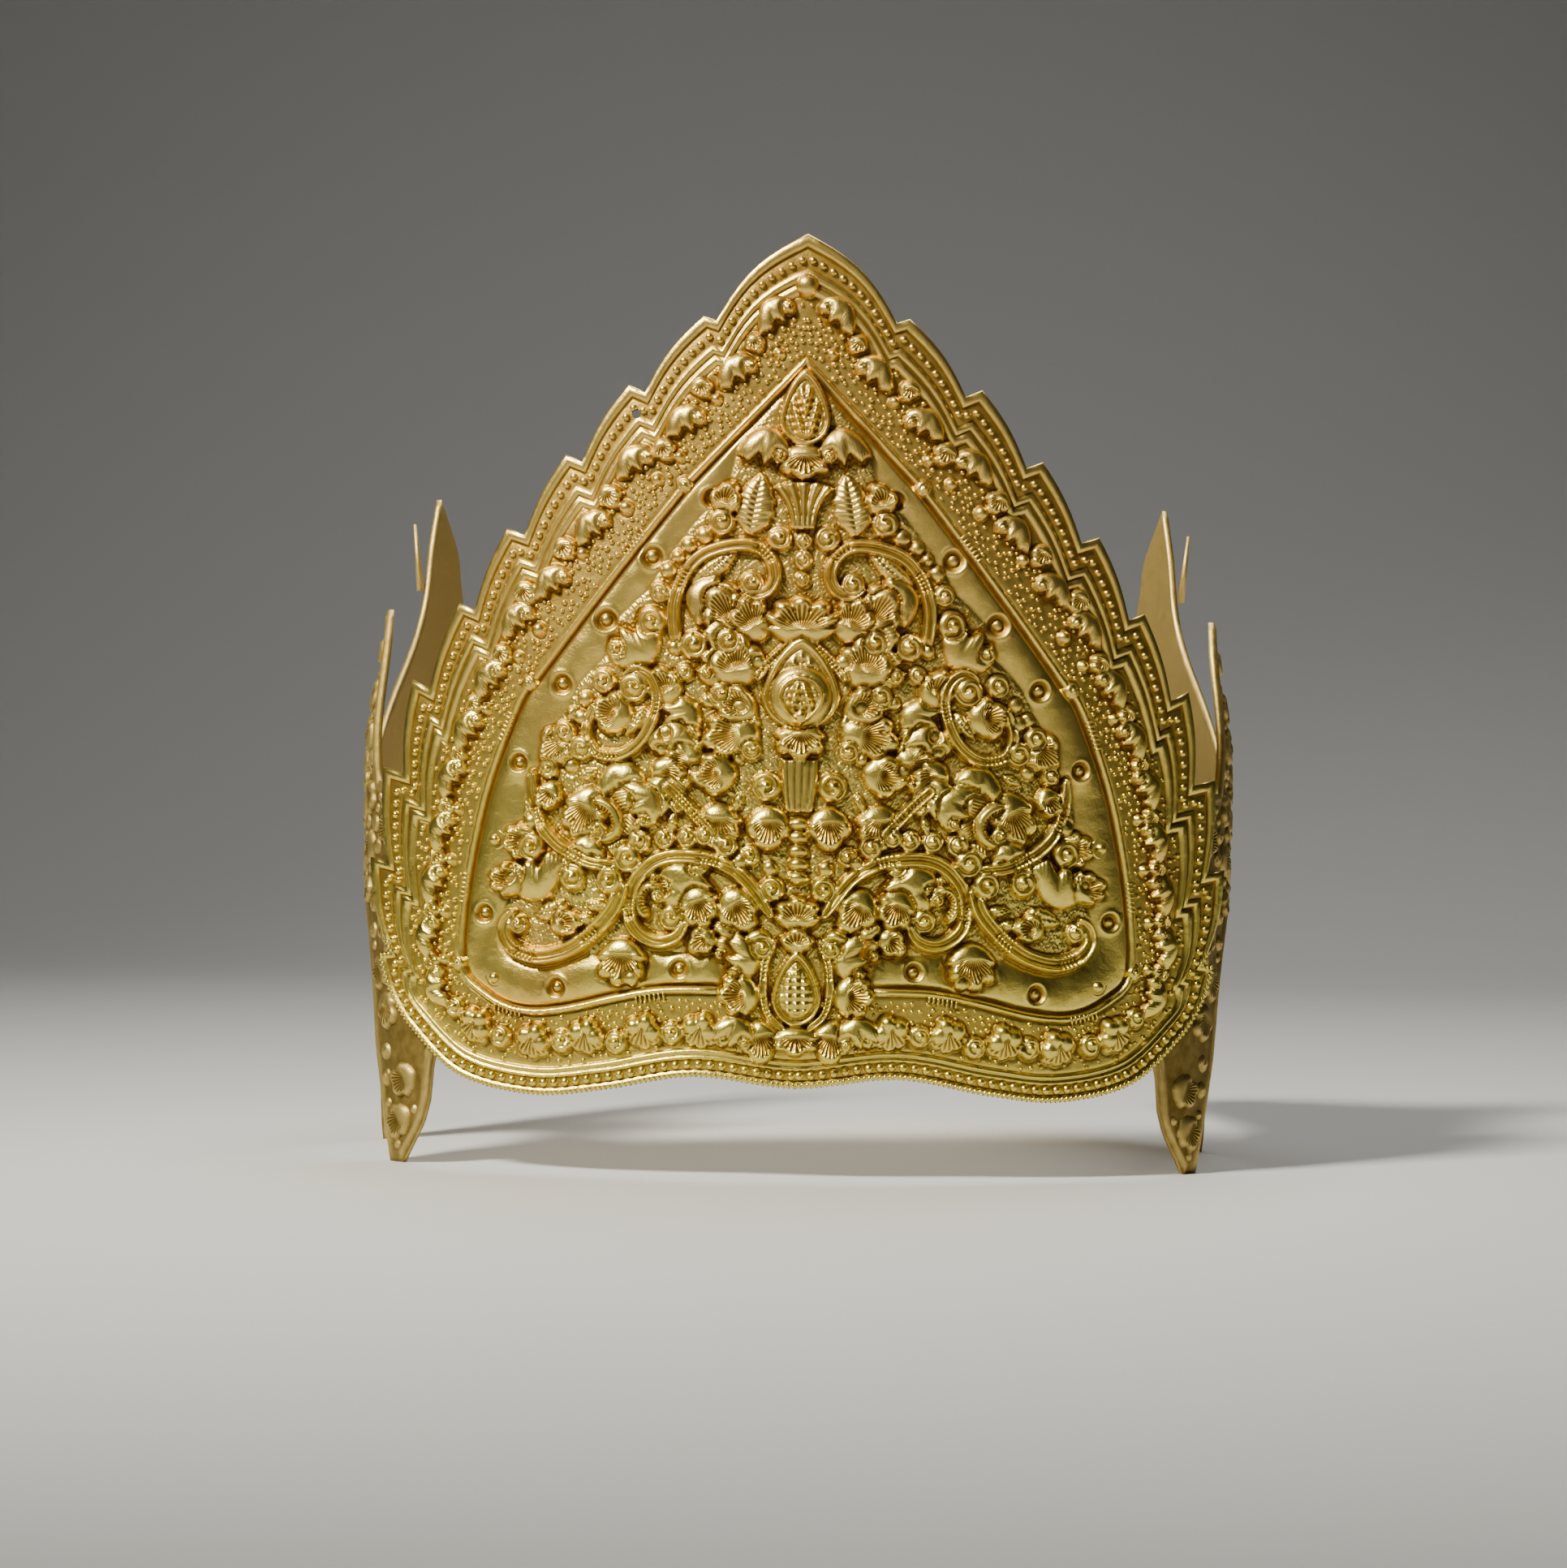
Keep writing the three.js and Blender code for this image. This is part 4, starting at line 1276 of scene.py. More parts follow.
    def rim_half(self, distance: float) -> list[Spot]:
        """Return the right half of the stepped rim at a distance in from the edge."""
        corners = self.corners(distance)
        half: list[Spot] = []
        for index, step in enumerate(self.steps):
            tip, notch = corners[2 * index], corners[2 * index + 1]
            length = math.dist(tip, notch)
            out = ((tip[1] - notch[1]) / length, (notch[0] - tip[0]) / length)
            for piece in range(self.run_pieces):
                share = piece / self.run_pieces
                bow = step[4] * math.sin(math.pi * share)
                half.append((blend(tip[0], notch[0], share) + out[0] * bow,
                             blend(tip[1], notch[1], share) + out[1] * bow))
            half.append(notch)
            if index + 1 < len(self.steps):
                after = corners[2 * index + 2]
                half.append((blend(notch[0], after[0], 0.5), blend(notch[1], after[1], 0.5)))
        return half + corners[2 * len(self.steps):]

    def frame_matches(self, half: Sequence[Spot]) -> list[Spot]:
        """Return the inner frame's spot that faces each spot of the rim's right half."""
        centre = self.moulding_centre
        angles = [math.atan2(a - centre[0], u - centre[1]) for a, u in self.frame_line]
        turns = [math.atan2(a - centre[0], u - centre[1]) for a, u in half]
        stride = self.run_pieces + 2
        anchors = [stride * step for step in range(len(self.steps))]
        anchors.append(anchors[-1] + self.run_pieces)
        for start, end in zip(anchors, anchors[1:]):
            for index in range(start, end):
                turns[index] = blend(turns[start], turns[end], (index - start) / (end - start))
        turns[0], turns[-1] = 0.0, math.pi
        faced: list[Spot] = []
        for turn in turns:
            place = sum(angle <= turn for angle in angles[1:-1])
            share = (turn - angles[place]) / (angles[place + 1] - angles[place])
            start, end = self.frame_line[place], self.frame_line[place + 1]
            faced.append((blend(start[0], end[0], share), blend(start[1], end[1], share)))
        return faced

    @staticmethod
    def set_in(half: Sequence[Spot], distance: float) -> list[Spot]:
        """Return a right half moved in towards the middle by a distance."""
        moved: list[Spot] = []
        last = len(half) - 1
        for index, (across, up) in enumerate(half):
            back = half[index - 1] if index else (-half[1][0], half[1][1])
            ahead = half[index + 1] if index < last else (-half[last - 1][0], half[last - 1][1])
            length = math.dist(back, ahead)
            moved.append((across + distance * (ahead[1] - back[1]) / length,
                          up - distance * (ahead[0] - back[0]) / length))
        return moved

    def build_sheet(self, gold: bpy.types.Material) -> bpy.types.Object:
        """Build the sheet itself, front and back."""
        def rows(half: Sequence[Spot], lift: float, shade: float) -> list[tuple[float, ...]]:
            """Give a half loop one lift and shade, and close it."""
            return [(a, u, lift, shade) for a, u in both_halves(half)]

        def inner(half: Sequence[Spot], share: float, lift: float) -> list[tuple[float, ...]]:
            """Draw the frame's loop in at one lift."""
            centre = self.moulding_centre
            return rows([(blend(a, centre[0], share), blend(u, centre[1], share))
                         for a, u in half], lift, 0.5)

        edge = self.rim_half(0.0)
        shell = Shell(self.sheet, rows(edge, 0.0, 0.8))
        for distance, lift, shade in self.rim_rows:
            # painted light: the rows inside the beads are painted brighter towards the bottom of the plate,
            # where the lower part is lit brighter
            shell.grow([(a, u, h, blend(tone, 1.0, (distance > 5.1) * 0.8 * ease((self.painted_light_up - u) / 20.0)))
                        for a, u, h, tone in rows(self.rim_half(distance), lift, shade)])
        ground = self.rim_half(self.rim_rows[-1][0])
        faced = self.frame_matches(ground)
        for share in (0.05, 0.3, 0.5, 0.7, 0.95):
            half = [(blend(g[0], f[0], share), blend(g[1], f[1], share))
                    for g, f in zip(ground, faced)]
            # painted shade on the sunk sheet under the vine band
            shell.grow(rows(half, self.vine_sunk, 0.35))
        for distance, lift, shade in self.moulding_rows:
            shell.grow([(a, u, self.sunk if inside((a, u), self.field_loop) else h, tone)
                        for a, u, h, tone in rows(self.set_in(faced, distance), lift, shade)])
        core = self.set_in(faced, self.moulding_rows[-1][0] + 0.4)
        for row in range(self.inner_rows):
            shell.grow(inner(core, row / self.inner_rows, self.sunk))
        shell.close((*self.moulding_centre, self.sunk))
        shell.rewind()
        shell.grow(rows(edge, -0.6, 0.8))
        shell.grow(rows(self.rim_half(0.6), -self.back, 0.7))
        shell.grow(rows(self.rim_half(1.4), -self.back, 0.6))
        shell.cap(both_halves(self.rim_half(1.4)), -self.back, 0.6, 4.0)
        piece = shell.finish("front_sheet", gold, Slot.FRONT)
        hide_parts("front_plate")
        return piece

    def build_rim(self, gold: bpy.types.Material) -> bpy.types.Object:
        """Set the bead rows and the rope-milled lip along the edge."""
        relief = Relief(self.sheet)
        for half in Half:
            side = half.value
            beads = self.rim_half(self.bead_in)
            for across, up, _ in even_steps(beads, self.bead_pitch):
                size = self.bead_radius * blend(1.18, 1.0, (self.scale_at(up) - self.rim_low) / 0.34)
                relief.grain((side * across, up), size, -0.05, 2)
            for across, up, heading in even_steps(self.rim_half(self.rope_in), self.rope_pitch):
                if up < self.rope_up:
                    self.strand(relief, side, across, up, heading)
        return relief.finish("front_rim", gold, Slot.FRONT)

    def strand(self, relief: Relief, side: int, across: float, up: float, heading: float) -> None:
        """Lay one strand of the rope-milled lip."""
        seat = Seat(across, up, math.degrees(heading) + 62.0, side, 0.22)

        def shape(turn: float, out: float) -> tuple[float, float, float]:
            """Small slanted lozenge."""
            lift = 0.42 * math.sqrt(max(0.0, 1 - out * out)) if out < 0.99 else -0.2
            return 0.42 * out * math.sin(turn), 0.78 * out * math.cos(turn), lift

        relief.round_patch(seat, 8, 3, 0.35, shape)


# ---------------------------------------------------------------- raised field

@dataclass
class FieldFoliage:
    """The foliage raised in the middle of the front plate."""

    plate: FrontPlate
    rise: float = 2.6
    growth: float = 1.44
    seed: int = 71
    # across, up, radius
    domes: tuple[tuple[float, float, float], ...] = (
        (19.8, 129.3, 1.7), (23.0, 127.3, 1.5), (27.1, 122.3, 1.6), (28.6, 117.9, 2.1),
        (25.1, 125.0, 1.3), (46.5, 93.1, 1.6), (32.2, 67.6, 2.3), (27.0, 68.3, 2.1),
        (22.4, 68.5, 2.1), (18.9, 69.0, 1.9), (14.5, 67.1, 2.3), (9.8, 65.1, 2.1),
        (5.1, 58.5, 2.5), (38.2, 59.7, 2.7), (33.5, 40.0, 1.6),
        (6.9, 46.6, 2.0), (59.6, 60.0, 1.2), (55.5, 71.2, 1.5),
        (46.8, 82.7, 1.6), (11.7, 64.0, 1.4), (5.6, 62.6, 1.6), (23.4, 101.8, 1.8),
        (40.0, 99.9, 2.4), (43.9, 96.2, 1.6), (44.8, 92.4, 1.5), (18.6, 96.1, 1.5),
        (27.9, 86.3, 1.3), (27.0, 89.6, 1.3), (12.3, 84.7, 1.3), (20.9, 82.5, 1.3),
        (51.6, 81.9, 2.0), (25.5, 106.7, 1.5), (8.6, 104.2, 1.5), (12.0, 95.2, 1.5))
    curls: tuple[tuple[float, float, float], ...] = (
        (16.4, 132.0, 2.5), (4.8, 128.8, 2.4), (21.6, 107.3, 2.7), (14.7, 108.2, 2.4),
        (6.6, 79.1, 2.8), (46.0, 60.1, 2.6), (34.5, 64.1, 2.7), (55.1, 66.1, 2.7),
        (48.2, 89.4, 2.3), (30.2, 112.0, 2.8), (16.1, 97.5, 2.1), (33.9, 98.6, 2.8),
        (9.8, 86.3, 2.0), (44.6, 86.3, 2.4), (10.1, 119.8, 2.2),
        (25.4, 52.4, 2.3), (57.6, 50.2, 1.9))
    # across and up of the foot, length, spread, heading
    fans: tuple[tuple[float, float, float, float, float], ...] = (
        (16.2, 133.2, 5.0, 100, 100), (11.0, 47.6, 5.0, 110, 10),
        (23.4, 117.9, 8.5, 95, 200), (12.3, 109.1, 8.0, 85, 60), (11.9, 103.6, 7.5, 90, 20),
        (7.7, 108.3, 7.0, 100, 60), (12.0, 98.5, 8.0, 110, 80), (20.3, 93.6, 6.5, 90, -10),
        (8.0, 90.3, 8.5, 80, -10), (8.8, 93.6, 7.0, 70, 25), (30.9, 103.5, 7.5, 100, 60),
        (28.7, 89.6, 7.0, 90, 200), (25.2, 95.3, 6.0, 90, 60), (23.6, 91.2, 6.0, 100, -60),
        (18.8, 85.5, 7.0, 110, -30), (12.3, 82.2, 7.0, 90, -10), (36.4, 83.5, 6.2, 110, -90),
        (29.6, 83.8, 6.0, 90, -140), (46.1, 89.6, 6.5, 100, -40), (27.2, 80.6, 6.5, 100, -80),
        (16.0, 75.8, 6.5, 130, -90), (5.9, 75.4, 6.5, 120, -90), (28.1, 76.7, 6.0, 90, -20),
        (41.5, 78.6, 8.5, 80, -70), (40.5, 75.4, 7.5, 60, -130), (42.3, 68.4, 5.0, 90, -70),
        (53.7, 68.4, 5.5, 110, -20), (52.1, 64.7, 5.0, 70, -150), (53.4, 55.5, 7.5, 100, 85),
        (57.0, 57.3, 5.5, 90, 30), (50.7, 49.9, 5.0, 90, 160), (27.8, 60.2, 9.0, 70, -165),
        (21.2, 58.9, 6.5, 100, -110), (14.3, 58.5, 7.0, 90, -120), (30.4, 52.9, 6.0, 60, 80),
        (35.3, 48.3, 7.0, 130, -90), (7.7, 32.4, 6.4, 110, -100), (10.8, 32.6, 5.4, 90, -60),
        (7.2, 50.7, 5.0, 100, -80), (33.8, 92.0, 6.5, 110, 20),
        (7.4, 43.6, 5.6, 120, 15), (7.0, 37.4, 6.2, 120, -5))
    # across and up of the foot, length, half width, heading, bend
    leaves: tuple[tuple[float, float, float, float, float, float], ...] = (
        (22.3, 119.5, 13.0, 2.3, 150, 2.5),
        (10.6, 129.6, 12.4, 4.2, 98, -0.6), (13.0, 99.4, 14.5, 2.5, -114, -1.8),
        (46.5, 53.5, 8.0, 2.2, 0, 1.2), (35.8, 57.0, 5.0, 1.3, 20, 0.5),
        (38.5, 54.0, 5.0, 1.3, 15, 0.5), (41.0, 51.3, 5.0, 1.3, 10, 0.5),
        (44.5, 48.8, 5.0, 1.2, 10, 0.5), (31.0, 94.5, 7.0, 1.6, -60, -1.0))
    # half width, start share, end share, spots
    stems: tuple[tuple[float, float, float, tuple[Spot, ...]], ...] = (
        (1.35, 0.6, 0.5, (
            (24.9, 106.5), (25.7, 111.5), (25.6, 116.1), (23.8, 121.1), (20.2, 125.2), (14.7, 127.2),
            (9.6, 127.2), (6.4, 124.6), (5.5, 121.2), (6.9, 118.3), (9.4, 117.4), (12.0, 118.8))),
        (1.55, 0.5, 0.5, (
            (5.4, 53.4), (10.2, 60.1), (14.8, 63.3), (19.9, 64.6), (25.5, 64.7), (29.7, 63.0),
            (32.9, 59.3), (34.0, 54.7), (33.2, 51.0), (30.8, 48.5), (27.5, 47.5), (24.2, 48.6),
            (22.6, 51.0))),
        (1.75, 1.0, 0.4, (
            (35.8, 57.9), (37.1, 54.2), (39.9, 50.7), (43.7, 47.3), (48.1, 44.9), (53.6, 43.9),
            (58.2, 45.2), (60.6, 48.0), (60.5, 50.7), (58.8, 52.6))),
        (1.45, 0.4, 0.5, (
            (55.0, 81.1), (54.8, 76.3), (53.2, 71.2), (49.6, 67.0), (44.6, 64.1), (41.2, 63.0),
            (37.4, 62.9))),
        (1.3, 0.9, 0.7, ((26.2, 78.5), (22.0, 74.5), (17.4, 69.6))),
        (1.2, 0.5, 0.6, (
            (35.6, 100.9), (33.1, 102.2), (30.4, 100.8), (29.0, 97.6), (29.6, 92.8), (32.1, 87.9),
            (36.4, 84.9), (41.5, 85.5), (43.5, 89.6), (42.2, 94.5))),
        (0.8, 0.7, 0.7, ((4.6, 48.0), (6.3, 43.5), (6.6, 38.0), (5.6, 33.5), (2.6, 30.6))),
        (0.9, 0.7, 0.5, ((8.6, 100.8), (6.8, 103.4), (4.1, 106.2), (0.2, 109.4))))
    # up of the middle, length, half width, heading, rise, lobes
    shells: tuple[tuple[float, float, float, float, float, int], ...] = (
        (144.2, 7.6, 5.6, -90.0, 2.8, 5), (112.4, 10.4, 7.8, 90.0, 3.0, 7),
        (88.4, 8.4, 5.4, -90.0, 2.9, 5), (53.6, 7.4, 5.0, 90.0, 2.7, 5),
        (48.2, 5.6, 3.6, 90.0, 2.4, 3), (28.0, 6.4, 5.2, -90.0, 2.5, 5))
    pitch: float = 0.27

    def build(self, gold: bpy.types.Material) -> list[bpy.types.Object]:
        """Build the foliage, the bosses and the grains of the field.

        Args:
            gold: finish of the front plate.

        Returns:
            The pieces.
        """
        chased = Chasing(self.plate.sheet, (0.0, 72.0), (22.0, 166.0), self.pitch, self.seed)
        # painted shade of the field: its level places and how strongly its relief is painted
        chased.tone = 0.55
        chased.relief = 0.40
        ground = self.plate.field_ground
        self.lay(chased)
        for across, up, radius in self.plate.bosses:
            chased.dish(Seat(across, up), radius, 0.48 * radius)
        for across, up, length, wide, heading, bend in self.leaves:
            chased.leaf(Seat(across, up, heading, 1, ground), length, wide, 1.9, bend)
        for index, (across, up, length, spread, heading) in enumerate(self.fans):
            turn = math.radians(heading)
            full = self.growth * length
            if spread < 65:
                chased.frond(Seat(across, up, heading, 1, ground), 1.10 * full, self.rise,
                             1 if index % 2 else -1)
                continue
            seat = Seat(across + 0.5 * full * math.cos(turn), up + 0.5 * full * math.sin(turn),
                        heading, 1, ground)
            if index % 3 == 1:
                chased.wing(seat, 1.1 * full, 0.60 * full, self.rise)
            else:
                chased.hood(seat, full, full * blend(0.40, 0.54, (spread - 70) / 60), self.rise,
                            3 + index % 3, (index % 5 - 2) * 0.5)
        for wide, start, end, spots in self.stems:
            chased.ribbon(spots, 1.08 * wide, 2.2, (start, end), ground, (0.3, 0.7))
        for across, up, radius in self.domes:
            seat = Seat(across, up, 17.0 * up % 360.0, 1, ground)
            if radius < 1.75:
                chased.dome(seat, radius, 1.2)
            else:
                chased.volute(seat, 1.05 * radius, 0.7 + 0.75 * radius)
        for across, up, radius in self.curls:
            chased.volute(Seat(across, up, 31.0 * up % 360.0, 1, ground), 1.08 * radius, 2.5)
        self.axis(chased)
        self.fill(chased)
        self.stipple(chased)
        chased.beat()
        return [chased.finish(f"front_field_{half.name.lower()}", gold, Slot.FRONT, half.value)
                for half in Half]

    def lay(self, chased: Chasing) -> None:
        """Lay the pillow of the plain band and the ground of the field."""
        to_frame = chased.distance(self.plate.frame_loop)
        to_field = chased.distance(self.plate.field_loop)
        gap = np.abs(to_frame) + np.abs(to_field) + 1e-6
        bulge = np.sin(math.pi * np.abs(to_frame) / gap) * np.clip(gap / 9.0, 0, 1)
        waves = chased.soften(chased.chance.random(chased.lift.shape), 2.2) - 0.5
        plain = self.plate.pillow * bulge + 5.5 * waves
        level = np.where(to_field > 0, self.plate.field_ground * np.clip(to_field, 0, 1), plain)
        rim = np.clip((np.maximum(to_frame, to_field) - 1.7) / 1.0, 0, 1)
        chased.lift = np.where(np.maximum(to_frame, to_field) > 1.4,
                               level * rim - 0.6 * (1 - rim), chased.floor)
        self.in_field = to_field > 0.4
        self.to_field = to_field

    def axis(self, foliage: Chasing) -> None:
        """Push up the buds, shells and beads that stand on the middle line."""
        ground = self.plate.field_ground
        for up, length, wide, heading, rise, lobes in self.shells:
            foliage.hood(Seat(0.0, up, heading, 1, ground), length, wide, rise, lobes)
        foliage.wing(Seat(8.0, 146.6, -72.0, 1, ground), 9.6, 5.0, 2.8)
        foliage.bud(Seat(0.0, 152.8, 90.0, 1, ground), 5.1, 10.2, 5.4, 3.0)
        foliage.flutes(Seat(0.0, 130.6, 90.0, 1, ground), 2.4, 7.5, 9.6, 2.0, 5)
        for up, radius in ((128.3, 1.8), (124.6, 2.0), (120.6, 1.6)):
            foliage.volute(Seat(0.0, up, 90.0, 1, ground), radius, 1.9)
        foliage.flutes(Seat(0.0, 84.6, -90.0, 1, ground), 3.7, 2.6, 10.5, 1.3, 5)
        for up in (71.6, 68.9, 66.2, 63.5, 60.8):
            foliage.collar(Seat(0.0, up, 90.0, 1, ground), 2.2, 1.45, 1.8)
        foliage.bud(Seat(0.0, 97.4, 90.0, 1, ground), 7.9, 12.0, 6.9, 2.6)
        foliage.dome(Seat(0.0, 97.2, 90.0, 1, ground + 0.4), 6.3, 3.4)
        foliage.bud(Seat(0.0, 97.0, -90.0, 1, ground + 1.3), 4.6, 5.4, 4.4, 2.9)
        foliage.dome(Seat(0.0, 93.4, 90.0, 1, ground + 2.2), 1.1, 1.2)
        foliage.bud(Seat(0.0, 37.0, 90.0, 1, ground), 5.0, 9.4, 6.0, 3.0, True)

    def fill(self, foliage: Chasing) -> None:
        """Fill the gaps between the leaves with small long leaves and cupped leaves."""
        chance = random.Random(self.seed)
        ground = self.plate.field_ground
        for radius, tries in ((4.4, 2500), (3.0, 1600), (1.8, 900)):
            for _ in range(tries):
                spot = (chance.uniform(1.5, 62.0), chance.uniform(27.0, 160.0))
                if not foliage.clear(spot, 0.58 * radius, ground + 0.3):
                    continue
                if spot[1] > 147.0 or foliage.sample(self.to_field, *spot) < 0.55 * radius:
                    continue
                away = math.degrees(math.atan2(spot[1] - 128.0, spot[0]))
                seat = Seat(spot[0], spot[1], away + chance.uniform(-45.0, 45.0), 1, ground)
                if radius < 2.0:
                    foliage.leaf(Seat(*seat.spread(0.0, -radius), seat.heading, 1, ground),
                                 2.4 * radius, 0.6 * radius, 1.3, chance.uniform(-0.8, 0.8))
                else:
                    foliage.hood(seat, 2.3 * radius, 0.98 * radius, 1.2 + 0.38 * radius,
                                 chance.choice((3, 4, 5)), chance.uniform(-0.8, 0.8))

    def stipple(self, chased: Chasing) -> None:
        """Prick the ground left between the forms."""
        low = self.in_field & (chased.lift < self.plate.field_ground + 0.25) & (chased.lift > -0.4)
        chased.lift = chased.lift + 0.45 * low * (chased.chance.random(chased.lift.shape) - 0.4)


# ---------------------------------------------------------------- vine band

@dataclass
class VineBand:
    """The vine of leaves, berries and grains between the rim and the inner frame."""

    plate: FrontPlate
    seed: int = 23
    leaf_length: float = 7.0
    leaf_wide: float = 4.5
    low_up: float = 34.0
    # painted shade laid over the band's sunk ground
    ground_painted_shade: float = 0.20
    pitch: float = 0.30
    leaves: tuple[Spot, ...] = (
        (6.3, 173.7), (13.9, 162.1), (24.1, 152.1), (34.6, 143.9), (43.1, 130.8), (51.8, 119.6),
        (59.3, 112.0), (65.5, 100.1), (70.4, 89.7), (74.1, 79.8), (76.2, 68.9), (78.0, 58.1),
        (79.1, 47.2), (76.4, 36.9), (67.4, 29.5), (54.3, 26.7), (42.8, 28.0), (30.9, 29.4),
        (19.2, 29.8))
    berries: tuple[tuple[float, float, float], ...] = (
        (10.3, 167.9, 1.7), (5.3, 165.9, 1.0), (20.9, 158.9, 1.9), (17.9, 156.7, 1.1),
        (28.5, 146.4, 2.1), (25.1, 145.1, 1.1), (29.7, 140.4, 1.2), (39.6, 137.0, 2.2),
        (36.1, 134.8, 1.4), (49.1, 126.5, 2.1), (45.2, 125.6, 1.2), (57.6, 117.6, 2.2),
        (54.4, 110.2, 1.4), (62.6, 105.1, 1.9), (58.9, 104.5, 1.1), (69.0, 95.0, 1.7),
        (66.1, 93.9, 1.1), (72.5, 84.8, 1.7), (75.2, 73.9, 1.7), (72.4, 73.4, 1.1),
        (77.1, 63.6, 1.7), (74.0, 63.0, 1.1), (78.6, 52.6, 1.7), (75.4, 52.3, 1.1),
        (78.3, 42.2, 1.7), (75.2, 42.6, 1.1), (72.3, 32.9, 1.7), (61.6, 27.3, 1.9),
        (48.0, 26.8, 1.9), (36.4, 27.0, 1.9), (25.0, 29.2, 1.9), (14.6, 29.0, 1.9))
    frame_curls: tuple[tuple[float, float, float], ...] = (
        (24.0, 139.4, 1.7), (56.2, 99.4, 1.7), (71.6, 42.0, 1.6))
    # across, up and heading of the hatched places on the inner frame
    hatches: tuple[tuple[float, float, float], ...] = (
        (34.0, 127.6, 128.0), (61.3, 90.5, 112.0), (70.6, 57.5, 98.0), (60.0, 32.9, 190.0),
        (29.5, 36.2, 170.0))

    def build(self, gold: bpy.types.Material) -> list[bpy.types.Object]:
        """Build the vine, its grains and the hatches across the inner frame.

        Args:
            gold: finish of the front plate.

        Returns:
            The pieces.
        """
        vine = Chasing(self.plate.sheet, (0.0, 90.0), (18.0, 186.0), self.pitch, self.seed)
        self.lay(vine)
        details = Relief(self.plate.sheet)
        for across, up, radius in self.berries:
            seat = Seat(across, up, self.heading((across, up)))
            if radius < 1.5:
                vine.dome(seat, 1.05 * radius, 0.3 + 0.85 * radius)
            elif up < self.low_up:
                vine.volute(seat, 1.25 * radius, 2.2)
            else:
                vine.hood(seat, 2.5 * radius, 1.25 * radius, 1.8, 3, 0.5, 0.9, 0.5)
        for across, up in self.leaves:
            seat = Seat(across, up, self.heading((across, up)))
            if up > self.low_up:
                vine.wing(seat, self.leaf_length, self.leaf_wide, 2.0)
            else:
                vine.tuft(seat, 1.15 * self.leaf_length, 0.9 * self.leaf_wide, 2.6)
        for across, up, radius in self.frame_curls:
            vine.volute(Seat(across, up, 200.0, 1, 0.2), radius, 1.6)
        vine.dome(Seat(0.0, 179.6), 2.4, 2.2)
        for half in Half:
            for across, up, heading in self.hatches:
                self.hatch(details, half.value, across, up, heading)
        grains = Relief(self.plate.sheet)
        self.sprinkle(grains, vine)
        vine.beat()
        pieces = [vine.finish(f"vine_band_{half.name.lower()}", gold, Slot.FRONT, half.value)
                  for half in Half]
        return pieces + [details.finish("frame_hatches", gold, Slot.FRONT),
                         grains.finish("vine_grains", gold, Slot.FRONT)]

    def lay(self, vine: Chasing) -> None:
        """Lay the sunk ground of the band between the rim and the inner frame, with painted shade that makes
        it brown.
        """
        self.to_rim = vine.distance(both_halves(self.plate.rim_half(self.plate.rim_rows[-1][0])))
        self.off_frame = -vine.distance(self.plate.frame_loop)
        edge = np.minimum(self.to_rim, self.off_frame)
        level = -0.15 * (1 - np.clip(edge / 0.4, 0, 1))
        vine.lift = np.where(edge > -0.45, level, vine.floor)
        # painted shade on the band's ground
        vine.painted_shade = np.where(edge > -0.45, self.ground_painted_shade, 0.0)

    def heading(self, spot: Spot) -> float:
        """Return the way the vine's leaves open at a spot, inwards and away from the apex."""
        index = min(range(len(self.leaves)), key=lambda at: math.dist(self.leaves[at], spot))
        after = self.leaves[min(index + 1, len(self.leaves) - 1)]
        before = self.leaves[max(index - 1, 0)]
        along = math.degrees(math.atan2(after[1] - before[1], after[0] - before[0]))
        return along + (-64.0 if spot[1] > self.low_up else 110.0)

    def hatch(self, details: Relief, side: int, across: float, up: float, heading: float) -> None:
        """Lay five short ticks across the inner frame."""
        turn = math.radians(heading)
        for tick in range(-3, 4):
            seat = Seat(across + 0.95 * tick * math.cos(turn), up + 0.95 * tick * math.sin(turn),
                        heading + 90.0, side, 0.55)

            def shape(angle: float, out: float) -> tuple[float, float, float]:
                """Short rounded tick."""
                lift = 0.5 * math.sqrt(max(0.0, 1 - out * out)) if out < 0.99 else -0.3
                return 0.3 * out * math.sin(angle), 1.1 * out * math.cos(angle), lift

            details.round_patch(seat, 8, 3, 0.4, shape)

    def sprinkle(self, grains: Relief, vine: Chasing) -> None:
        """Sprinkle grains on the band, closest along the inner frame."""
        chance = random.Random(self.seed)
        for _ in range(26000):
            spot = (chance.uniform(0.3, 88.0), chance.uniform(19.0, 182.0))
            to_frame = vine.sample(self.off_frame, *spot)
            if vine.sample(self.to_rim, *spot) < 0.6 or to_frame < 0.8:
                continue
            if chance.random() > math.exp(-to_frame / 7.0) + 0.25:
                continue
            radius = chance.uniform(0.40, 0.74)
            if not vine.clear(spot, 0.35, 0.35) or not grains.places.free(spot, radius * 0.85):
                continue
            grains.places.take(*spot, radius)
            for half in Half:
                grains.grain((half.value * spot[0], spot[1]), radius, 0.05)


# ---------------------------------------------------------------- side plates

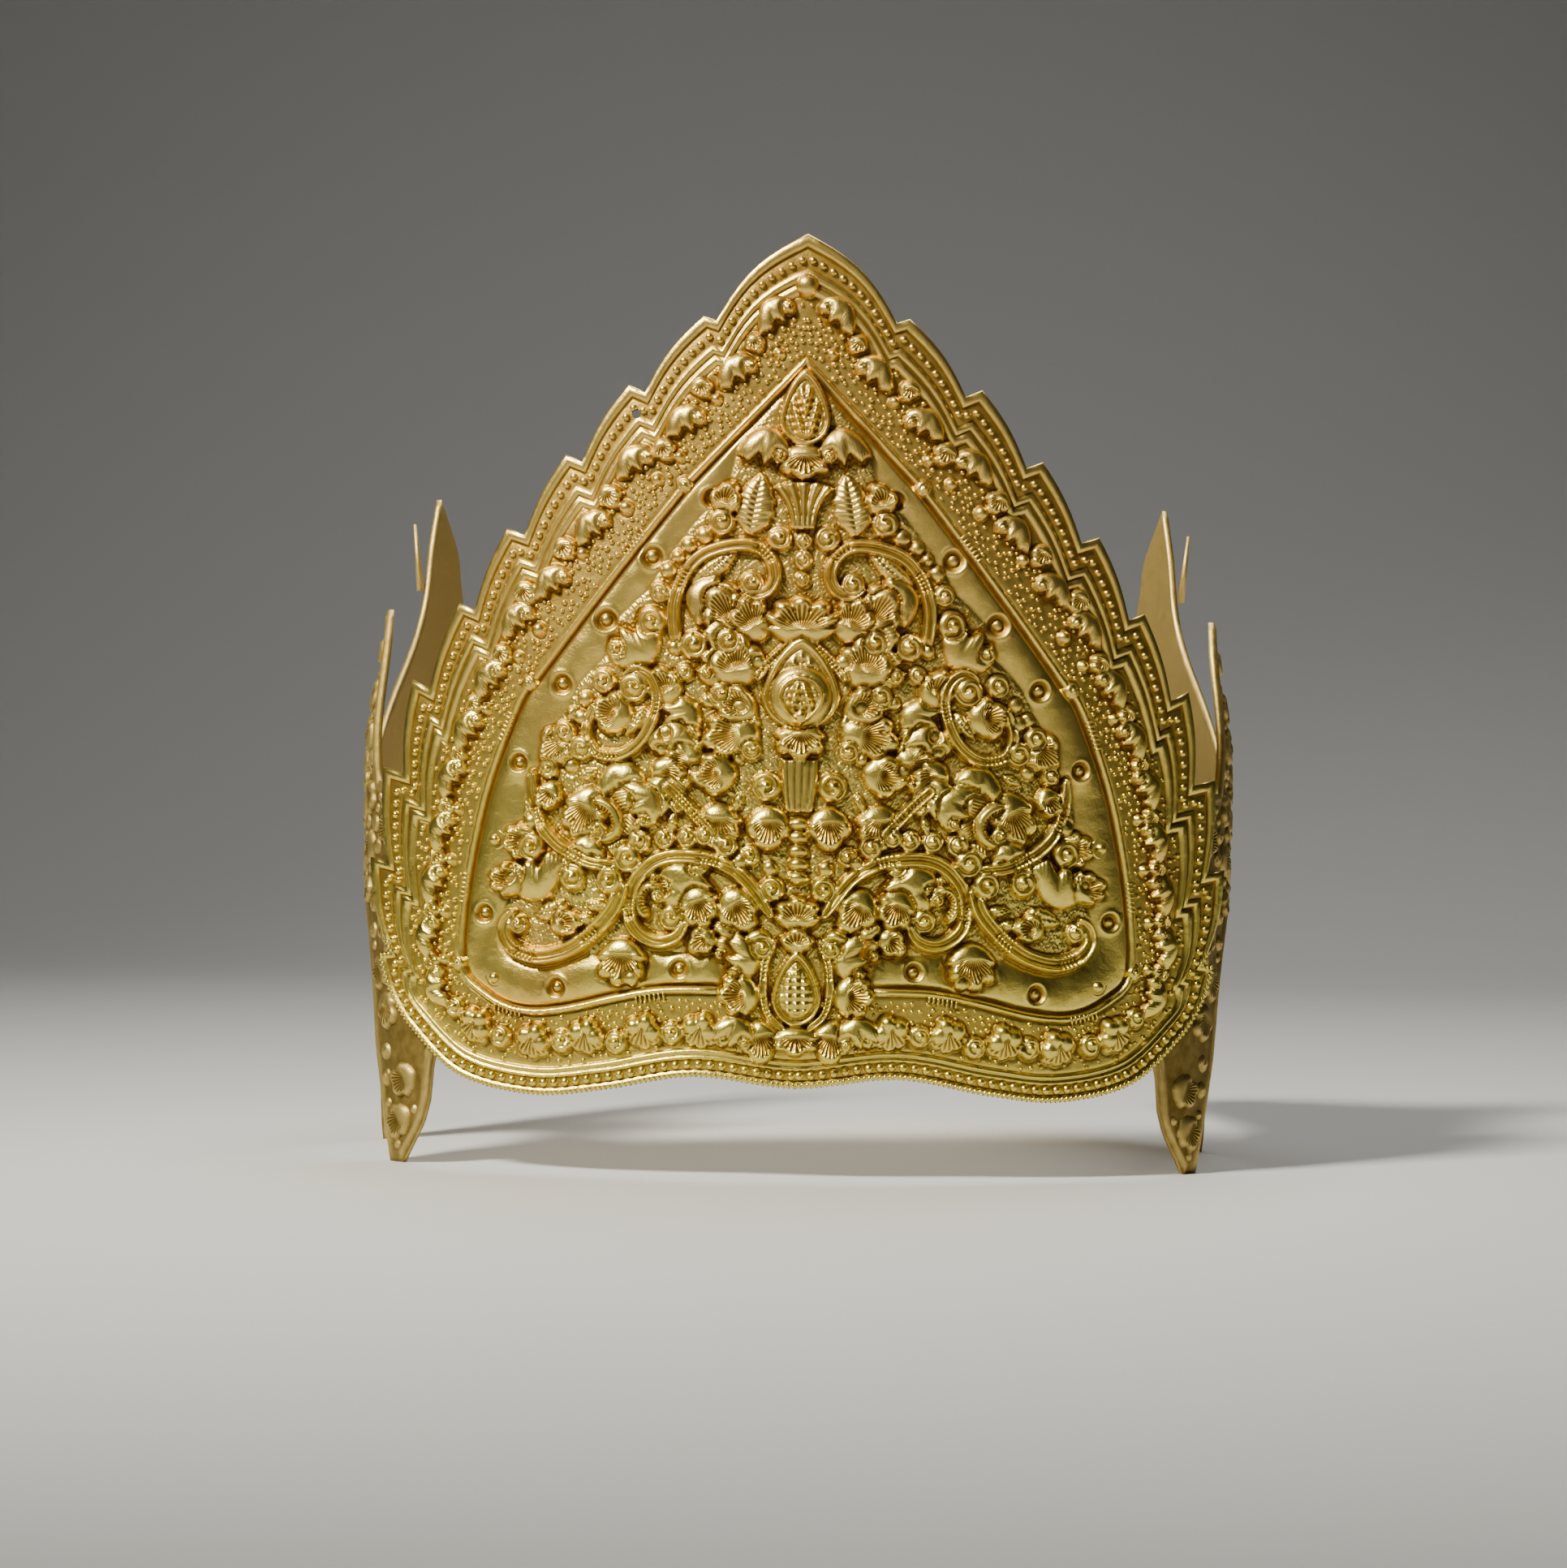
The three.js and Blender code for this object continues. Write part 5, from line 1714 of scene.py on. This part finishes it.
@dataclass
class SidePlate:
    """One side plate: ear arch, pointed flap, rear point and two upright points."""

    half: Half
    seed: int = 5
    thickness: float = 1.2
    columns: int = 190
    rows: int = 40
    front_depth: float = 10.0
    rear_depth: float = 160.9
    # stretches of build depth and up
    under: tuple[tuple[Spot, ...], ...] = (
        ((10.0, 26.0), (21.6, 24.0)),
        ((21.7, 22.0), (22.6, 10.1), (26.6, 0.0)),
        ((26.6, 0.0), (29.8, 0.0)),
        ((29.8, 0.0), (33.6, 14.3), (36.6, 24.0), (40.4, 41.0), (48.0, 53.0), (57.0, 56.0),
         (66.0, 50.0), (72.0, 36.0), (75.8, 18.0), (79.0, 0.0)),
        ((79.0, 0.0), (86.0, 0.0)),
        ((86.0, 0.0), (90.0, 11.0), (98.0, 24.0), (112.0, 34.0), (132.0, 42.0), (150.0, 50.0),
         (158.5, 60.0), (160.9, 69.0)))
    over: tuple[tuple[Spot, ...], ...] = (
        ((10.0, 78.0), (38.0, 79.0)),
        ((38.0, 79.0), (41.5, 92.0), (46.0, 107.0), (51.5, 115.5)),
        ((51.5, 115.5), (56.0, 109.0), (59.6, 97.0), (61.8, 85.0)),
        ((61.8, 85.0), (85.6, 102.3), (95.6, 111.7), (101.0, 121.0), (103.4, 132.0), (107.0, 143.0)),
        ((107.0, 143.0), (115.2, 132.0), (117.5, 122.0), (122.0, 112.0), (134.0, 101.0),
         (158.0, 83.0), (160.9, 71.0)))
    outline_pieces: int = 4
    rim_wide: float = 2.2
    rim_rise: float = 0.55
    prong_across: float = 45.6
    prong_foot: float = 122.0
    prong_length: float = 15.0
    prong_wide: float = 0.85

    def __post_init__(self) -> None:
        """Make the sheet and the outline in sheet places."""
        self.sheet = SideSheet(self.half)
        self.low = self.line(self.under)
        self.high = self.line(self.over)
        self.outline = self.low + list(reversed(self.high))

    @property
    def name(self) -> str:
        """Return the half's name."""
        return self.half.name.lower()

    def line(self, stretches: Sequence[Sequence[Spot]]) -> list[Spot]:
        """Return one smooth line of sheet places through stretches of depth and up."""
        line: list[Spot] = []
        for stretch in stretches:
            pieces = self.outline_pieces if len(stretch) > 2 else 1
            line += [(self.sheet.across_at(d), u) for d, u in curve_through(stretch, pieces)]
        return line

    @staticmethod
    def level(line: Sequence[Spot], across: float) -> float:
        """Return the height of a line at an across."""
        for start, end in zip(line, line[1:]):
            if start[0] <= across <= end[0]:
                share = (across - start[0]) / max(1e-9, end[0] - start[0])
                return blend(start[1], end[1], share)
        return line[-1][1] if across > line[-1][0] else line[0][1]

    def build_sheet(self, gold: bpy.types.Material) -> bpy.types.Object:
        """Build the sheet with its raised rim and plain inner face."""
        mesh = bmesh.new()
        height = mesh.verts.layers.float.new("height")
        grid = bmesh.ops.create_grid(mesh, x_segments=self.columns, y_segments=self.rows, size=1.0)
        first, last = self.low[0][0], self.low[-1][0]
        stops = sorted({round(a, 3) for a, _ in self.low + self.high})
        closed = self.outline + self.outline[:1]
        columns: dict[float, tuple[float, float, float]] = {}
        spots: dict[tuple[float, float, float], Spot] = {}
        for vert in grid["verts"]:
            column = round(vert.co.x, 5)
            if column not in columns:
                across = blend(first, last, 0.5 + 0.5 * column)
                near = min(stops, key=lambda stop: abs(stop - across))
                if abs(near - across) < 0.5 * (last - first) / self.columns:
                    across = near
                columns[column] = (across, self.level(self.low, across),
                                   self.level(self.high, across))
            across, low, high = columns[column]
            up = blend(low, max(high, low + 0.4), 0.5 + 0.5 * vert.co.y)
            vert.co = self.sheet.place(across, up, -self.thickness)
            # painted light: the plain inner face is painted bright, lifting it out of the shade it lies in
            vert[height] = 0.95
            spots[tuple(vert.co)] = (across, up)
        made = bmesh.ops.extrude_face_region(mesh, geom=list(mesh.faces))
        for vert in [item for item in made["geom"] if isinstance(item, bmesh.types.BMVert)]:
            across, up = spots[tuple(vert.co)]
            edge = nearest((across, up), closed)
            ridge = math.sin(math.pi * min(1.0, edge / self.rim_wide)) if edge < self.rim_wide else 0
            vert.co = self.sheet.place(across, up, self.rim_rise * ridge)
            # painted shade: the outer face is painted darker, brighter along the raised rim
            vert[height] = 0.27 + 0.3 * ridge
        bmesh.ops.recalc_face_normals(mesh, faces=mesh.faces)
        piece = as_piece(f"side_sheet_{self.name}", mesh, gold)
        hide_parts(f"side_plate_{self.name}")
        return piece

    def build_relief(self, gold: bpy.types.Material) -> bpy.types.Object:
        """Raise the side plate's vine and stand its upright prong."""
        first, last = min(self.outline)[0], max(self.outline)[0]
        chased = Chasing(self.sheet, (first, last), (2.0, 142.0), 0.42, self.seed)
        # painted shade: the side relief's level places are painted darker
        chased.tone = 0.36
        chance = random.Random(self.seed)
        to_edge = chased.distance(self.outline)
        covered = self.sheet.across_at(31.0)
        for size, tries in ((8.4, 1100), (6.2, 1600), (4.0, 2200), (2.4, 3200)):
            for _ in range(tries):
                spot = (chance.uniform(first, last), chance.uniform(3.0, 140.0))
                if spot[0] < covered and spot[1] > 19.0 or not chased.clear(spot, 0.34 * size, 0.3):
                    continue
                if chased.sample(to_edge, *spot) < 0.40 * size + 1.8:
                    continue
                seat = Seat(*spot, chance.uniform(0.0, 360.0))
                if size > 5.0:
                    chased.hood(seat, size, 0.46 * size, 1.2, 4, chance.uniform(-0.8, 0.8))
                elif size > 3.0:
                    chased.volute(seat, 0.45 * size, 1.0)
                else:
                    chased.dome(seat, 0.45 * size, 0.6)
        chased.beat()
        prong = Relief(self.sheet)
        self.prong(prong)
        prong.finish(f"side_prong_{self.name}", gold, Slot.SIDE)
        return chased.finish(f"side_vine_{self.name}", gold, Slot.SIDE)

    def prong(self, relief: Relief) -> None:
        """Stand the thin prong behind the tall rear point."""
        cone = bmesh.ops.create_cone(
            relief.mesh, cap_ends=True, segments=10, radius1=self.prong_wide,
            radius2=0.4 * self.prong_wide, depth=self.prong_length)
        for vert in cone["verts"]:
            rise = vert.co.z + 0.5 * self.prong_length
            sway = 1.6 * (rise / self.prong_length) ** 2
            vert.co = self.sheet.place(self.prong_across + vert.co.x, self.prong_foot + rise,
                                       0.9 + vert.co.y + sway)
            vert[relief.height] = 0.7
        faces = {face for vert in cone["verts"] for face in vert.link_faces}
        bmesh.ops.recalc_face_normals(relief.mesh, faces=list(faces))


# ---------------------------------------------------------------- rivets

@dataclass
class Rivet:
    """One rivet that joins the front plate to a side plate."""

    node: str
    half: Half
    across: float
    up: float
    # reach from the axis, lift
    profile: tuple[Spot, ...] = (
        (0.0, 2.0), (0.55, 1.9), (0.95, 1.55), (1.15, 0.95), (1.35, 0.75), (1.75, 0.95),
        (2.1, 0.90), (2.35, 0.55), (2.4, 0.0), (1.2, 0.0), (1.2, -3.4), (2.2, -3.45),
        (2.0, -4.0), (0.0, -4.2))

    def build(self, gold: bpy.types.Material, sheet: FrontSheet) -> bpy.types.Object:
        """Spin the rivet from its profile.

        Args:
            gold: its finish.
            sheet: the sheet that it goes through.

        Returns:
            The piece.
        """
        low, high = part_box(self.node)
        mesh = bmesh.new()
        height = mesh.verts.layers.float.new("height")
        verts = [mesh.verts.new((reach, 0.0, lift)) for reach, lift in self.profile]
        edges = [mesh.edges.new(pair) for pair in zip(verts, verts[1:])]
        bmesh.ops.spin(mesh, geom=verts + edges, cent=(0, 0, 0), axis=(0, 0, 1), dvec=(0, 0, 0),
                       angle=2 * math.pi, steps=24, use_merge=True, use_duplicate=False)
        bmesh.ops.remove_doubles(mesh, verts=mesh.verts, dist=1e-5)
        side = self.half.value
        for vert in mesh.verts:
            reach = math.hypot(vert.co.x, vert.co.y)
            # painted shade: the ring groove round the head is painted dark
            vert[height] = 0.95 if abs(reach - 1.3) > 0.2 else 0.25
            vert.co = sheet.place(side * self.across + vert.co.x, self.up + vert.co.y, vert.co.z)
        bmesh.ops.recalc_face_normals(mesh, faces=mesh.faces)
        piece = as_piece(self.node.replace("rivet", "rivet_head"), mesh, gold)
        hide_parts(self.node)
        LOG.info("%s box %s %s", self.node, tuple(low), tuple(high))
        return piece


# ---------------------------------------------------------------- studio

@dataclass
class Studio:
    """Pale floor, soft light and the camera."""

    picture: tuple[int, int] = (1931, 1932)
    distance: float = 0.850
    plane_depth: float = -0.0216
    eye_up: float = 0.0796
    eye_across: float = -0.0032
    frame_wide: float = 0.3365
    sensor: float = 36.0
    roll: float = -0.9

    def build(self) -> None:
        """Set the floor, the lights, the air and the camera."""
        self.floor()
        self.lights()
        self.camera()

    def floor(self) -> None:
        """Lay the floor with a curved sweep up behind."""
        mesh = bmesh.new()
        bmesh.ops.create_grid(mesh, x_segments=2, y_segments=48, size=1.0)
        for vert in mesh.verts:
            along = 0.5 + 0.5 * vert.co.y
            bend = 0.55
            if along < 0.5:
                depth, up = blend(-1.6, 0.75, along / 0.5), 0.0
            elif along < 0.75:
                turn = (along - 0.5) / 0.25 * math.pi / 2
                depth, up = 0.75 + bend * math.sin(turn), bend - bend * math.cos(turn)
            else:
                depth, up = 0.75 + bend, blend(bend, 2.4, (along - 0.75) / 0.25)
            vert.co = Vector((vert.co.x * 2.4, depth, up))
        bmesh.ops.recalc_face_normals(mesh, faces=mesh.faces)
        for face in mesh.faces:
            face.smooth = True
        data = bpy.data.meshes.new("studio_floor")
        mesh.to_mesh(data)
        mesh.free()
        data.materials.append(StageFinish().build())
        floor = bpy.data.objects.new("studio_floor", data)
        bpy.context.scene.collection.objects.link(floor)

    def lights(self) -> None:
        """Hang large soft lights above and in front, over a dim sky."""
        # name, place, aim, wide, spread, power, colour
        rows = (
            ("key_light", (-0.55, -0.60, 0.84), (0.0, -0.05, 0.09), 0.20, 60, 3.1, (1.0, 0.96, 0.86)),
            ("fill_light", (0.30, -1.10, 0.30), (0.0, -0.05, 0.09), 0.60, 70, 0.05, (1.0, 0.96, 0.88)),
            ("top_light", (0.10, 0.35, 1.05), (0.0, 0.05, 0.08), 0.60, 180, 7.0, (1.0, 0.98, 0.95)))
        for name, place, aim, wide, spread, power, colour in rows:
            lamp = bpy.data.lights.new(name, "AREA")
            lamp.shape = "SQUARE"
            lamp.size = wide
            lamp.spread = math.radians(spread)
            lamp.energy = power
            lamp.color = colour
            light = bpy.data.objects.new(name, lamp)
            light.location = place
            heading = Vector(aim) - Vector(place)
            light.rotation_euler = heading.to_track_quat("-Z", "Y").to_euler()
            bpy.context.scene.collection.objects.link(light)
        world = bpy.data.worlds.new("studio_air")
        world.use_nodes = True
        world.node_tree.nodes["Background"].inputs[0].default_value = (0.82, 0.84, 0.88, 1.0)
        world.node_tree.nodes["Background"].inputs[1].default_value = 0.02
        bpy.context.scene.world = world

    def camera(self) -> None:
        """Stand the camera level with the middle of the plate."""
        lens = bpy.data.cameras.new("camera")
        lens.sensor_fit = "HORIZONTAL"
        lens.sensor_width = self.sensor
        lens.lens = self.sensor * self.distance / self.frame_wide
        camera = bpy.data.objects.new("camera", lens)
        camera.location = (self.eye_across, self.plane_depth - self.distance, self.eye_up)
        camera.rotation_euler = (math.pi / 2, math.radians(self.roll), 0.0)
        bpy.context.scene.collection.objects.link(camera)
        bpy.context.scene.camera = camera


def main() -> None:
    """Build the headdress piece by piece."""
    logging.basicConfig(level=logging.INFO, format="%(name)s: %(message)s")
    front_gold = GoldFinish("front_gold_beaten", hole=(-0.0340, 0.1537, 0.0009)).build()
    # the side plates' upper colour is painted light: brighter, to lift the shaded inner faces of the upper
    # lobes
    side_gold = GoldFinish("side_gold_beaten", (0.66, 0.50, 0.16), (0.82, 0.61, 0.20),
                           (0.17, 0.11, 0.018), (0.56, 0.34, 0.09), 0.40, 0.10).build()
    rivet_gold = GoldFinish("rivet_gold_turned", shine=0.24, grain=0.00004).build()
    Studio().build()
    plate = FrontPlate()
    plate.build_sheet(front_gold)
    plate.build_rim(front_gold)
    FieldFoliage(plate).build(front_gold)
    VineBand(plate).build(front_gold)
    for half in Half:
        side = SidePlate(half)
        side.build_sheet(side_gold)
        side.build_relief(side_gold)
        for level, across, up in (("upper", 63.2, 67.4), ("lower", 62.9, 39.2)):
            Rivet(f"rivet_{side.name}_{level}", half, across, up).build(rivet_gold, plate.sheet)


if __name__ == "__main__":
    main()
